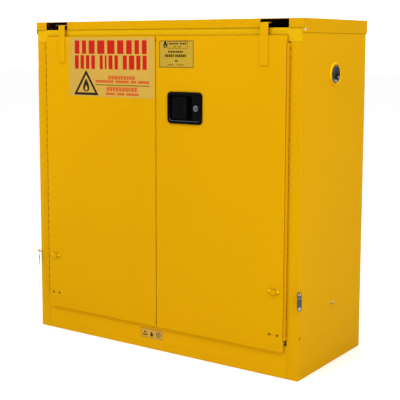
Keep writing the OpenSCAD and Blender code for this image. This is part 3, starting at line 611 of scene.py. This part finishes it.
def add_tube(bm, path, radius_at, sides=16):
    """A round tube along a path, capped with domes; radius_at gives the radius at each point."""
    points = [Vector(p) for p in path]
    rings = []
    normal = None
    for i, point in enumerate(points):
        ahead = points[min(i + 1, len(points) - 1)] - points[max(i - 1, 0)]
        ahead.normalize()
        if normal is None:
            helper = Vector((0, 0, 1)) if abs(ahead.z) < 0.9 else Vector((1, 0, 0))
            normal = ahead.cross(helper).normalized()
        normal = (normal - ahead * normal.dot(ahead)).normalized()
        other = ahead.cross(normal)
        radius = radius_at(i)
        turn = 2 * math.pi / sides
        rings.append([bm.verts.new(point + radius * (math.cos(k * turn) * normal
                                                     + math.sin(k * turn) * other))
                      for k in range(sides)])
    for first, second in zip(rings, rings[1:]):
        join_rings(bm, first, second)
    for ring, neighbour in ((rings[0], points[1] - points[0]), (rings[-1], points[-2] - points[-1])):
        middle = sum((v.co for v in ring), Vector()) / len(ring)
        reach = (ring[0].co - middle).length * 0.45
        join_rings(bm, ring, [bm.verts.new(middle - neighbour.normalized() * reach)])


def ring(radius, count=48, centre=(0, 0)):
    turn = 2 * math.pi / count
    return [(centre[0] + radius * math.cos(i * turn), centre[1] + radius * math.sin(i * turn))
            for i in range(count)]


def rectangle(x0, z0, x1, z1, radius, steps=6):
    return eased([(x0, z0), (x1, z0), (x1, z1), (x0, z1)], radius, steps, closed=True)


def dome(radius, height, skirt=0.0, steps=7):
    """The profile of a domed head that stands on a straight skirt."""
    crown = height - skirt
    points = [(radius, 0.0), (radius, skirt * 0.99)]
    for i in range(1, steps):
        angle = math.pi / 2 * i / steps
        points.append((radius * math.cos(angle), skirt + crown * math.sin(angle)))
    return points + [(0, height)]


def add_cross_head(bm, place, radius, height):
    """A pan head with a cross recess, as rings whose middle dips along two arms."""
    segments = 64
    shares = (1.0, 1.0, 0.93, 0.8, 0.66, 0.54, 0.42, 0.3, 0.2, 0.1)
    rings = []
    for i, share in enumerate(shares):
        verts = []
        for k in range(segments):
            angle = 2 * math.pi * k / segments
            x, y = radius * share * math.cos(angle), radius * share * math.sin(angle)
            rise = 0.0 if i == 0 else height * (1 - 0.55 * max(0.0, share - 0.5) ** 1.5 / 0.35)
            if min(abs(x), abs(y)) < radius * 0.14 and share < 0.55:
                rise -= height * 0.6
            verts.append(bm.verts.new(place @ Vector((x, y, rise))))
        rings.append(verts)
    for first, second in zip(rings, rings[1:]):
        join_rings(bm, first, second)
    join_rings(bm, rings[-1], [bm.verts.new(place @ Vector((0, 0, height * 0.3)))])


# ---------- labels ----------

INK_DEPTH = 0.10 * MM


def add_print(name, shapes, face_y, material, body):
    """Ink on a film: each shape is a list of outlines that stands a hair proud of the film."""
    bm = bmesh.new()
    for outlines in shapes:
        add_plate(bm, outlines, 0.0, INK_DEPTH, facing("front", 0, face_y, 0), INK_DEPTH * 0.3)
    add_piece(name, bm, material, body)


def blocks(x0, x1, z0, z1, widths, gap, radius=1.2 * MM):
    """A row of plain blocks that stands for a line of print; negative widths are left blank."""
    unit = (x1 - x0 - gap * (len(widths) - 1)) / sum(abs(width) for width in widths)
    shapes = []
    x = x0
    for width in widths:
        if width > 0:
            shapes.append([rectangle(x, z0, x + width * unit, z1, radius, 3)])
        x += abs(width) * unit + gap
    return shapes


def drop(x, z, radius, height, steps=24):
    """A plain drop: a round bottom that narrows to a point."""
    points = []
    for i in range(steps):
        angle = 2 * math.pi * i / steps
        pinch = (1 - math.sin(angle)) / 2
        points.append((x + radius * math.cos(angle) * (0.16 + 0.84 * pinch ** 0.6),
                       z + radius + (height / 2) * math.sin(angle) * (1.0 if angle < math.pi else 0.7)))
    return points


def build_film(name, node, body, material, face_y, radius):
    """A film with rounded corners in place of a label's CAD node; gives back its box."""
    low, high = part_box(node)
    bm = bmesh.new()
    add_plate(bm, [rectangle(low.x, low.z, high.x, high.z, radius)], 0.0, face_y - low.y,
              facing("front", 0, face_y, 0), 0.06 * MM)
    add_piece(name, bm, material, body, (node,))
    return low, high


def build_left_label():
    """Two rows of large red blocks, small red ones, and a triangle round a flame."""
    low, high = build_film("left_label_film", "left_door_label", "left_door",
                           materials["label_film"], door_y, 3 * MM)
    x0, x1, top = low.x + 26 * MM, high.x - 31 * MM, high.z
    red = blocks(x0, x1, top - 57 * MM, top - 10 * MM,
                 (0.8, 0.7, 1.0, 1.2, 1.2, 1.0, 0.9, 0.7, 0.75), 12 * MM)
    red += blocks(x0, x1, top - 110 * MM, top - 62 * MM,
                  (1, 0.9, 0.9, 0.95, -0.2, 0.8, 0.45, 1, 0.85, -0.2, 1, 1.3, 1, 1), 9 * MM)
    small = blocks(-205 * MM, -88 * MM, top - 145 * MM, top - 132 * MM,
                   (1, 1, 1.1, 0.9, 1, 1, 0.8, 1, 1), 2.5 * MM, 0.8 * MM)
    small += blocks(-264 * MM, -27 * MM, top - 157 * MM, top - 148 * MM,
                   (7, -0.2, 5, -0.2, 2, -0.2, 4), 3 * MM, 0.8 * MM)
    small += blocks(-213 * MM, -80 * MM, top - 186 * MM, top - 171 * MM,
                   (1, 1, 0.9, 1.1, 1, 1, 1, 0.8, 1, 1), 2.5 * MM, 0.8 * MM)
    small += blocks(-218 * MM, -72 * MM, top - 199 * MM, top - 191 * MM, (4, -0.2, 3, -0.2, 5),
                    3 * MM, 0.8 * MM)
    film_y = low.y
    add_print("left_label_red_print", red, film_y, red_ink, "left_door")
    add_print("left_label_small_print", small, film_y, small_red_ink, "left_door")
    centre, foot, tip = -306.5 * MM, top - 202 * MM, top - 113 * MM
    outer = eased([(centre - 57 * MM, foot), (centre + 57 * MM, foot), (centre, tip)],
                  3 * MM, 3, closed=True)
    inner = [(centre - 41 * MM, foot + 9 * MM), (centre + 41 * MM, foot + 9 * MM),
             (centre, tip - 17 * MM)]
    black = [[outer, inner],
             [drop(centre, foot + 12 * MM, 19 * MM, 54 * MM),
              drop(centre, foot + 16 * MM, 8 * MM, 22 * MM)]]
    add_print("left_label_black_print", black, film_y, black_ink, "left_door")
    rule = [[rectangle(-264 * MM, top - 166.5 * MM, -25 * MM, top - 163 * MM, 0.5 * MM, 2)]]
    add_print("left_label_rule", rule, film_y, khaki_ink, "left_door")


def build_right_label():
    """A ruled border, a ruled box with a flame, and rows of small blocks."""
    low, high = build_film("right_label_film", "right_door_label", "right_door",
                           green_gold, door_y, 3 * MM)
    film_y = low.y

    def across(share):
        return low.x + share * (high.x - low.x)

    def up(share):
        return low.z + share * (high.z - low.z)

    border = [rectangle(low.x + 0.5 * MM, low.z + 0.5 * MM, high.x - 0.5 * MM, high.z - 0.5 * MM,
                        3 * MM),
              rectangle(low.x + 3.2 * MM, low.z + 3.2 * MM, high.x - 3.2 * MM, high.z - 3.2 * MM,
                        2 * MM)]
    box = [rectangle(across(0.25), up(0.70), across(0.83), up(0.97), 1.5 * MM),
           rectangle(across(0.262), up(0.722), across(0.818), up(0.948), 1 * MM)]
    khaki = [border, box]
    khaki += blocks(across(0.41), across(0.64), up(0.745), up(0.79), (1, 1), 6 * MM, 0.8 * MM)
    khaki += blocks(across(0.46), across(0.55), up(0.21), up(0.29), (1,), 1, 1 * MM)
    khaki += blocks(across(0.25), across(0.42), up(0.09), up(0.125), (1,), 1, 0.8 * MM)
    khaki += blocks(across(0.52), across(0.72), up(0.09), up(0.125), (1,), 1, 0.8 * MM)
    add_print("right_label_khaki_print", khaki, film_y, khaki_ink, "right_door")
    black = [[drop(across(0.185), up(0.73), 10 * MM, 29 * MM),
              drop(across(0.185), up(0.75), 3.6 * MM, 9 * MM)]]
    black += blocks(across(0.27), across(0.69), up(0.545), up(0.625),
                    (1, 0.8, 0.9, 1, 0.7, 0.9, 0.8, 1, 0.8, 0.9), 1.8 * MM, 0.8 * MM)
    black += blocks(across(0.18), across(0.78), up(0.39), up(0.49),
                    (1.1, 0.9, 0.9, 1, 0.9, -0.3, 1, 0.9, 1.1, 1, 0.9, 0.8), 2.0 * MM, 0.9 * MM)
    black += blocks(across(0.30), across(0.79), up(0.85), up(0.905),
                    (1, 1, 0.8, 1, -0.3, 1, 1, 0.8), 2 * MM, 0.8 * MM)
    add_print("right_label_black_print", black, film_y, black_ink, "right_door")


def build_base_label():
    """Three plain marks in a ruled border: a triangle, a drop and a ring."""
    low, high = build_film("base_label_film", "base_label", "cabinet", tan_film, frame_y, 2 * MM)
    film_y = low.y
    middle = (low.z + high.z) / 2
    thirds = [low.x + share * (high.x - low.x) for share in (0.2, 0.5, 0.8)]
    tri = [(thirds[0] - 11 * MM, middle - 9 * MM), (thirds[0] + 11 * MM, middle - 9 * MM),
           (thirds[0], middle + 10 * MM)]
    tri_hole = [(thirds[0] - 6 * MM, middle - 6 * MM), (thirds[0] + 6 * MM, middle - 6 * MM),
                (thirds[0], middle + 4.5 * MM)]
    marks = [[eased(tri, 1.5 * MM, 3, closed=True), tri_hole],
             [drop(thirds[1], middle - 11 * MM, 8 * MM, 21 * MM)],
             [ring(9.5 * MM, 32, (thirds[2], middle)), ring(7 * MM, 32, (thirds[2], middle))],
             [ring(3 * MM, 24, (thirds[2], middle))]]
    border = [rectangle(low.x + MM, low.z + MM, high.x - MM, high.z - MM, 1.6 * MM),
              rectangle(low.x + 2.2 * MM, low.z + 2.2 * MM, high.x - 2.2 * MM, high.z - 2.2 * MM,
                        1 * MM)]
    add_print("base_label_print", marks, film_y, black_ink, "cabinet")
    add_print("base_label_border", [border], film_y, khaki_ink, "cabinet")


# ---------- latch ----------

def build_latch():
    """The bezel's rounded rim and the lock's collar."""
    low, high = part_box("latch_housing")
    bm = bmesh.new()
    outer = rectangle(low.x, low.z, high.x, high.z, 17 * MM, 10)
    inner = rectangle(low.x + 10.5 * MM, low.z + 11 * MM, high.x - 9 * MM, high.z - 11 * MM,
                      9 * MM, 8)
    add_plate(bm, [outer, inner], 0.1 * MM, 5.4 * MM, facing("front", 0, door_y, 0), 2.6 * MM)
    add_piece("latch_bezel", bm, bezel_black, "right_door")

    low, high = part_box("lock_barrel")
    centre_x, centre_z = (low.x + high.x) / 2, (low.z + high.z) / 2
    radius = (high.x - low.x) / 2
    front = door_y - low.y
    depth = high.y - door_y
    bore = 6.05 * MM
    profile = eased([(bore, -depth), (radius, -depth), (radius, front - 2.6 * MM),
                     (radius - 0.7 * MM, front - 0.2 * MM), (radius - 2.6 * MM, front),
                     (radius - 3.0 * MM, front - 0.9 * MM), (bore, front - 0.9 * MM)],
                    0.5 * MM, 3, closed=True)
    bm = bmesh.new()
    add_turned(bm, profile, facing("front", centre_x, door_y, centre_z), closed=True)
    add_piece("lock_collar", bm, materials["lock_chrome"], "right_door",
              ("lock_barrel",))


# ---------- vents ----------

def build_vents():
    """Threaded bushings with beaded flanges, dished caps and screens, high right and low left."""
    low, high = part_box("vent_bushings")
    flange = 40.5 * MM
    places = {"right": facing("right", side_x, (low.y + high.y) / 2, high.z - flange),
              "left": facing("left", -side_x, (low.y + high.y) / 2, low.z + flange)}
    gap = side_x - seam_x
    bushing = eased([(30.6, -49.2), (33.9, -49.2), (33.9, -0.02), (40.4, -0.02), (40.2, 1.2),
                     (38.6, 3.4), (36.2, 4.8), (33.4, 5.2), (30.6, 4.3)], 0.7, 3, closed=True)
    bushing = [(r * MM, h * MM) for r, h in bushing]
    plug = eased([(0, -6.0), (30.5, -6.0), (30.5, -0.8), (28.2, -0.5), (28.2, 3.4), (27.0, 4.8),
                  (25.2, 4.2), (21.5, 0.2), (17.0, -2.2), (10.2, -3.0), (0, -3.2)], 1.4, 4)
    plug = [(r * MM, h * MM) for r, h in plug]
    nut = eased([(34.1, 0.0), (41.0, 0.0), (41.0, 6.0), (34.1, 6.0)], 0.8, 3, closed=True)
    nut = [(r * MM, -gap - h * MM) for r, h in nut]
    bushings, plugs, screens = bmesh.new(), bmesh.new(), bmesh.new()
    for place in places.values():
        add_turned(bushings, bushing, place, 96, closed=True)
        add_turned(bushings, nut, place, 96, closed=True)
        add_turned(plugs, plug, place, 96)
        add_screen(screens, place @ Matrix.Translation((0, 0, -gap + 5.5 * MM)))
    add_piece("vent_rings", bushings, ring_coat, "cabinet",
              ("vent_bushings",))
    add_piece("vent_caps", plugs, materials["vent_metal"], "cabinet", ("vent_plugs",))
    add_piece("vent_screens", screens, materials["screen_metal"], "cabinet",
              ("flame_arresters",))


def add_screen(bm, place):
    """A woven wire screen in a flat ring."""
    rim = eased([(27.4, -1.5), (30.4, -1.5), (30.4, 1.5), (27.4, 1.5)], 0.4, 2, closed=True)
    add_turned(bm, [(r * MM, h * MM) for r, h in rim], place, closed=True)
    pitch = 3.1 * MM
    reach = 28.4 * MM
    count = int(reach / pitch)
    for turned in (False, True):
        for i in range(-count, count + 1):
            offset = i * pitch
            half = math.sqrt(reach ** 2 - offset ** 2)
            steps = max(4, int(2 * half / (pitch / 4)))
            path = []
            for k in range(steps + 1):
                along = -half + 2 * half * k / steps
                wave = math.cos(math.pi * along / pitch) * (-1) ** (i + turned)
                point = (offset, along) if turned else (along, offset)
                path.append(place @ Vector((*point, 0.42 * MM * wave)))
            add_tube(bm, path, lambda _: 0.42 * MM, sides=6)


# ---------- screws, rivets and hooks ----------

def build_door_rivets():
    """Two domed rivets on each catch, and two hollow ones below."""
    for side, name in LEFT_AND_RIGHT:
        low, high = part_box(name + "_link_catch")
        middle_x, middle_z = (low.x + high.x) / 2, (low.z + high.z) / 2
        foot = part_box(name + "_door_rivets")[0].z + 4.2 * MM
        plug = eased([(4.6, 0.0), (4.4, 1.2), (3.2, 2.1), (2.3, 1.9), (2.1, 0.3), (0, 0.2)], 0.4, 3)
        plug = [(r * MM, h * MM) for r, h in plug]
        bm, hollow = bmesh.new(), bmesh.new()
        for s in (-1, 1):
            add_turned(bm, [(4.5 * MM, 0), (4.5 * MM, 0.6 * MM)] + dome(5.6 * MM, 3.6 * MM)[1:],
                       facing("front", middle_x + s * 14.75 * MM, door_y - 1.2 * MM, middle_z), 40)
            add_turned(hollow, plug, facing("front", middle_x + s * 14.25 * MM, door_y, foot), 36)
        # The hollow rivets take a dark coat: painted shade.
        add_piece(name + "_hollow_rivets", hollow, shaded_rivet_coat, name + "_door")
        # Rivet heads: painted highlight on top, painted shade below.
        add_piece(name + "_rivet_heads", bm, stud_coat, name + "_door",
                  (name + "_door_rivets",))


def build_side_rivets():
    """The rolled head of the rivet low on each side, just behind its front edge."""
    profile = eased([(3.8, 0.0), (3.6, 1.2), (2.7, 1.9), (2.0, 1.8), (1.7, 1.6), (0, 1.58)], 0.2, 3)
    bm = bmesh.new()
    for side, name in LEFT_AND_RIGHT:
        add_turned(bm, [(r * MM, h * MM) for r, h in profile],
                   facing(name, side * side_x, frame_y + 8 * MM, 137 * MM), 32)
    # The side rivets take a dark coat: painted shade.
    add_piece("side_rivets", bm, shaded_rivet_coat, "cabinet")


def build_cover_screws():
    """A cross-head screw on each side of the mechanism cover."""
    bm = bmesh.new()
    low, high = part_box("cover_screws")
    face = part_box("mechanism_cover")[1].x
    height = (low.z + high.z) / 2
    for side, name in LEFT_AND_RIGHT:
        place = facing(name, side * face, (low.y + high.y) / 2, height)
        add_cross_head(bm, place, 4.8 * MM, 2.5 * MM)
        thread = [(2.5 * MM, 0.2 * MM)]
        for k in range(11):
            thread += [(2.05 * MM, (-0.8 * k - 1.4) * MM), (2.5 * MM, (-0.8 * k - 1.8) * MM)]
        add_turned(bm, thread + [(0, -10.8 * MM)], place, 24)
    add_piece("cover_screw_heads", bm, materials["zinc_steel"], "cabinet",
              ("cover_screws",))


def build_ground_screw():
    """A threaded stud with a toothed washer and a nut outside, and a nut inside."""
    low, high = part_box("ground_screw")
    y, z = (low.y + high.y) / 2, (low.z + high.z) / 2
    place = facing("right", side_x, y, z)
    bm = bmesh.new()
    teeth = []
    for i in range(48):
        radius = 7.9 * MM if i % 4 < 2 else 7.0 * MM
        teeth.append((radius * math.cos(math.pi * i / 24), radius * math.sin(math.pi * i / 24)))
    add_plate(bm, [teeth, ring(3.2 * MM, 32)], 0.0, 1.1 * MM, place, 0.15 * MM)
    hexagon = eased(ring(6.2 * MM, 6), 0.5 * MM, 2, closed=True)
    add_plate(bm, [hexagon, ring(3.02 * MM, 32)], 1.1 * MM, 6.2 * MM, place, 0.5 * MM)
    nut = facing("left", side_x - 1.2 * MM, y, z)
    add_plate(bm, [hexagon, ring(3.02 * MM, 32)], 0.0, 5.0 * MM, nut, 0.5 * MM)
    thread = [(0, 10 * MM), (2.4 * MM, 9.9 * MM), (3.0 * MM, 9.4 * MM)]
    for k in range(23):
        thread += [(2.55 * MM, (9 - k) * MM), (3.0 * MM, (8.5 - k) * MM)]
    add_turned(bm, thread + [(0, -14 * MM)], place, 32)
    add_piece("ground_bolt", bm, bolt_coat, "cabinet", ("ground_screw",))


HOOK_REACH = 14 * MM
HOOK_RISE = 7 * MM
LINK_HALF = 7.5 * MM


def corner_place(side, height):
    """Local X stands out from the front corner along its diagonal, local Z is up."""
    turn = Matrix.Rotation(math.radians(-45 if side > 0 else 225), 4, "Z")
    corner = (side * (side_x - 0.5 * MM), frame_y + 0.5 * MM, height)
    return Matrix.Translation(corner) @ turn


def build_hooks_and_links():
    """A bent wire hook on a riveted plate at each front corner, with its fusible link."""
    hook_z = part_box("right_fusible_link")[1].z - LINK_HALF
    hooks = bmesh.new()
    for side, name in LEFT_AND_RIGHT:
        place = corner_place(side, hook_z)
        bend = 4 * MM
        path = [(-1.5 * MM, 0, 0), (3 * MM, 0, 0), (7 * MM, 0, 0), (HOOK_REACH - bend, 0, 0)]
        path += [(HOOK_REACH - bend + bend * math.sin(math.radians(a)), 0,
                  bend - bend * math.cos(math.radians(a))) for a in (15, 30, 45, 60, 75, 90)]
        path += [(HOOK_REACH, 0, HOOK_RISE - 1.5 * MM), (HOOK_REACH, 0, HOOK_RISE - 0.6 * MM)]
        count = len(path)
        add_tube(hooks, [place @ Vector(p) for p in path],
                 lambda i, n=count: 2.15 * MM if i < n - 1 else 1.6 * MM, 20)
        plate = facing(name, side * side_x, frame_y + 10.5 * MM, hook_z)
        add_plate(hooks, [rectangle(-9.5 * MM, -9 * MM, 9.5 * MM, 9 * MM, 3 * MM)], 0.0, 1.7 * MM,
                  plate, 0.4 * MM)
        add_turned(hooks, dome(3.6 * MM, 1.9 * MM, 0.3 * MM),
                   plate @ Matrix.Translation((side * 2.5 * MM, 0, 1.6 * MM)), 32)
        build_link(name, place)
    add_piece("corner_hooks", hooks, materials["yellow_paint"], "cabinet",
              ("link_hooks",))


def build_link(name, place):
    """Two overlapping eye plates with bright eyelets, joined by a bead of solder."""
    span_z = 46 * MM
    half_w = LINK_HALF
    out = place @ Matrix.Translation((6.5 * MM, 0, 0)) @ Matrix.Rotation(math.radians(90), 4, "Y")

    def eye_plate(eye, end):
        """An outline in the link's plane: local -X is up, local Y is across."""
        way = 1 if end > eye else -1
        points = [(eye - way * half_w * math.sin(math.radians(a)),
                   way * half_w * math.cos(math.radians(a))) for a in range(0, 181, 12)]
        return points + eased([points[-1], (end, -way * half_w), (end, way * half_w), points[0]],
                              1.2 * MM, 3)[1:-1]

    plates = bmesh.new()
    add_plate(plates, [eye_plate(0.0, 32 * MM), ring(3.9 * MM, 32)], 0.0, 1.45 * MM, out, 0.25 * MM)
    add_plate(plates, [eye_plate(span_z, 14 * MM), ring(3.9 * MM, 32, (span_z, 0))],
              1.5 * MM, 2.95 * MM, out, 0.25 * MM)
    add_piece(name + "_link_plates", plates, materials["link_metal"], name + "_fusible_link",
              (name + "_fusible_link",))
    eyelet = eased([(3.3, -0.4), (4.8, -0.4), (4.8, -0.02), (3.8, 0.1), (3.8, 1.4), (4.8, 1.5),
                    (4.8, 1.9), (3.3, 1.9)], 0.2, 2, closed=True)
    eyelets = bmesh.new()
    for z, lift in ((0.0, 0.0), (span_z, 1.5 * MM)):
        add_turned(eyelets, [(r * MM, h * MM) for r, h in eyelet],
                   out @ Matrix.Translation((z, 0, lift)), 40, closed=True)
    add_piece(name + "_link_eyelets", eyelets, eyelet_steel, name + "_fusible_link")
    bead = bmesh.new()
    for along, height in ((14 * MM, 1.6 * MM), (32 * MM, 1.4 * MM)):
        path = [out @ Vector((along, -6 * MM + 1.0 * MM * k, height)) for k in range(13)]
        add_tube(bead, path, lambda i: (0.75 + 0.18 * math.sin(2.2 * i)) * MM, 12)
    add_piece(name + "_link_solder", bead, solder, name + "_fusible_link")


# ---------- inside ----------

def add_weld(bm, place):
    """A resistance weld's shallow dimple with a raised rim."""
    profile = [(3.6, 0.0), (3.1, 0.16), (2.5, 0.2), (2.0, 0.1), (0, 0.03)]
    add_turned(bm, [(r * MM, h * MM) for r, h in profile], place, 20)


def spread(low, high, count):
    """Evenly spaced values from low to high."""
    return [low + (high - low) * i / (count - 1) for i in range(count)]


def build_door_welds():
    """Weld marks round each inner door pan."""
    for _, name in LEFT_AND_RIGHT:
        low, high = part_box(name + "_door_liner")
        inset = 9 * MM
        bm = bmesh.new()
        for z in spread(low.z + 30 * MM, high.z - 30 * MM, 12):
            for x in (low.x + inset, high.x - inset):
                add_weld(bm, facing("back", x, high.y, z))
        for x in spread(low.x + 50 * MM, high.x - 50 * MM, 5):
            for z in (low.z + inset, high.z - inset):
                add_weld(bm, facing("back", x, high.y, z))
        add_piece(name + "_door_weld_marks", bm, materials["inner_paint"], name + "_door")


def build_pan_welds():
    """Rippled weld beads in the sill pan's corners and along its floor, and marks on the back."""
    low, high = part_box("sill_pan")
    inner = 1.2 * MM
    x1, y0, y1 = high.x - inner, low.y + inner, high.y - inner
    floor = low.z + inner
    bm = bmesh.new()
    step = 1.6 * MM

    def bead(start, end):
        start, end = Vector(start), Vector(end)
        count = int((end - start).length / step)
        path = [start.lerp(end, i / count) for i in range(count + 1)]
        add_tube(bm, path, lambda i: (1.5 + 0.22 * math.sin(2.1 * i)) * MM, 8)

    for x in (-x1, x1):
        for y in (y0, y1):
            bead((x, y, floor), (x, y, high.z - 2 * MM))
        bead((x, y0, floor), (x, y1, floor))
    for y in (y0, y1):
        bead((-x1, y, floor), (x1, y, floor))
    add_piece("pan_weld_beads", bm, materials["inner_paint"], "cabinet")

    bm = bmesh.new()
    back_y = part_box("back_panel")[1].y
    for z in spread(60 * MM, 1060 * MM, 11):
        for side in (-1, 1):
            add_weld(bm, facing("back", side * (side_x - 9 * MM), back_y, z))
    for x in spread(-480 * MM, 480 * MM, 9):
        add_weld(bm, facing("back", x, back_y, 12 * MM))
    add_piece("back_weld_marks", bm, materials["yellow_paint"], "cabinet")


def build_inner_screws():
    """Screws that hold the shelf standards."""
    bm = bmesh.new()
    low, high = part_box("shelf_standards")
    for side, toward in ((-1, "right"), (1, "left")):
        for y in (low.y + 12 * MM, high.y - 12 * MM):
            for z in spread(low.z + 8 * MM, high.z - 8 * MM, 3):
                add_cross_head(bm, facing(toward, -side * low.x, y, z), 4.2 * MM, 1.8 * MM)
    add_piece("standard_screws", bm, materials["zinc_steel"], "cabinet")


def build_closer_details():
    """A domed end cap at each end of each closer, and the screws through its feet."""
    for _, name in LEFT_AND_RIGHT:
        low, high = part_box(name + "_closer")
        bm = bmesh.new()
        body_y = high.y - 36.5 * MM
        for end, direction in ((low.x + 9 * MM, "left"), (high.x - 9 * MM, "right")):
            place = facing(direction, end, body_y + 20 * MM, deck_z + 7 * MM)
            add_turned(bm, dome(5.0 * MM, 1.6 * MM, 0.8 * MM), place, 32)
        for x in (low.x + 4.5 * MM, high.x - 4.5 * MM):
            add_cross_head(bm, facing("up", x, low.y + 35 * MM, deck_z + 3 * MM), 3.6 * MM, 2 * MM)
        add_piece(name + "_closer_screws", bm, materials["zinc_steel"], "cabinet")


add_camera()
add_studio()
add_floor()
dress_cad_nodes()
build_left_label()
build_right_label()
build_base_label()
build_latch()
build_vents()
build_door_rivets()
build_side_rivets()
build_cover_screws()
build_ground_screw()
build_hooks_and_links()
build_door_welds()
build_pan_welds()
build_inner_screws()
build_closer_details()
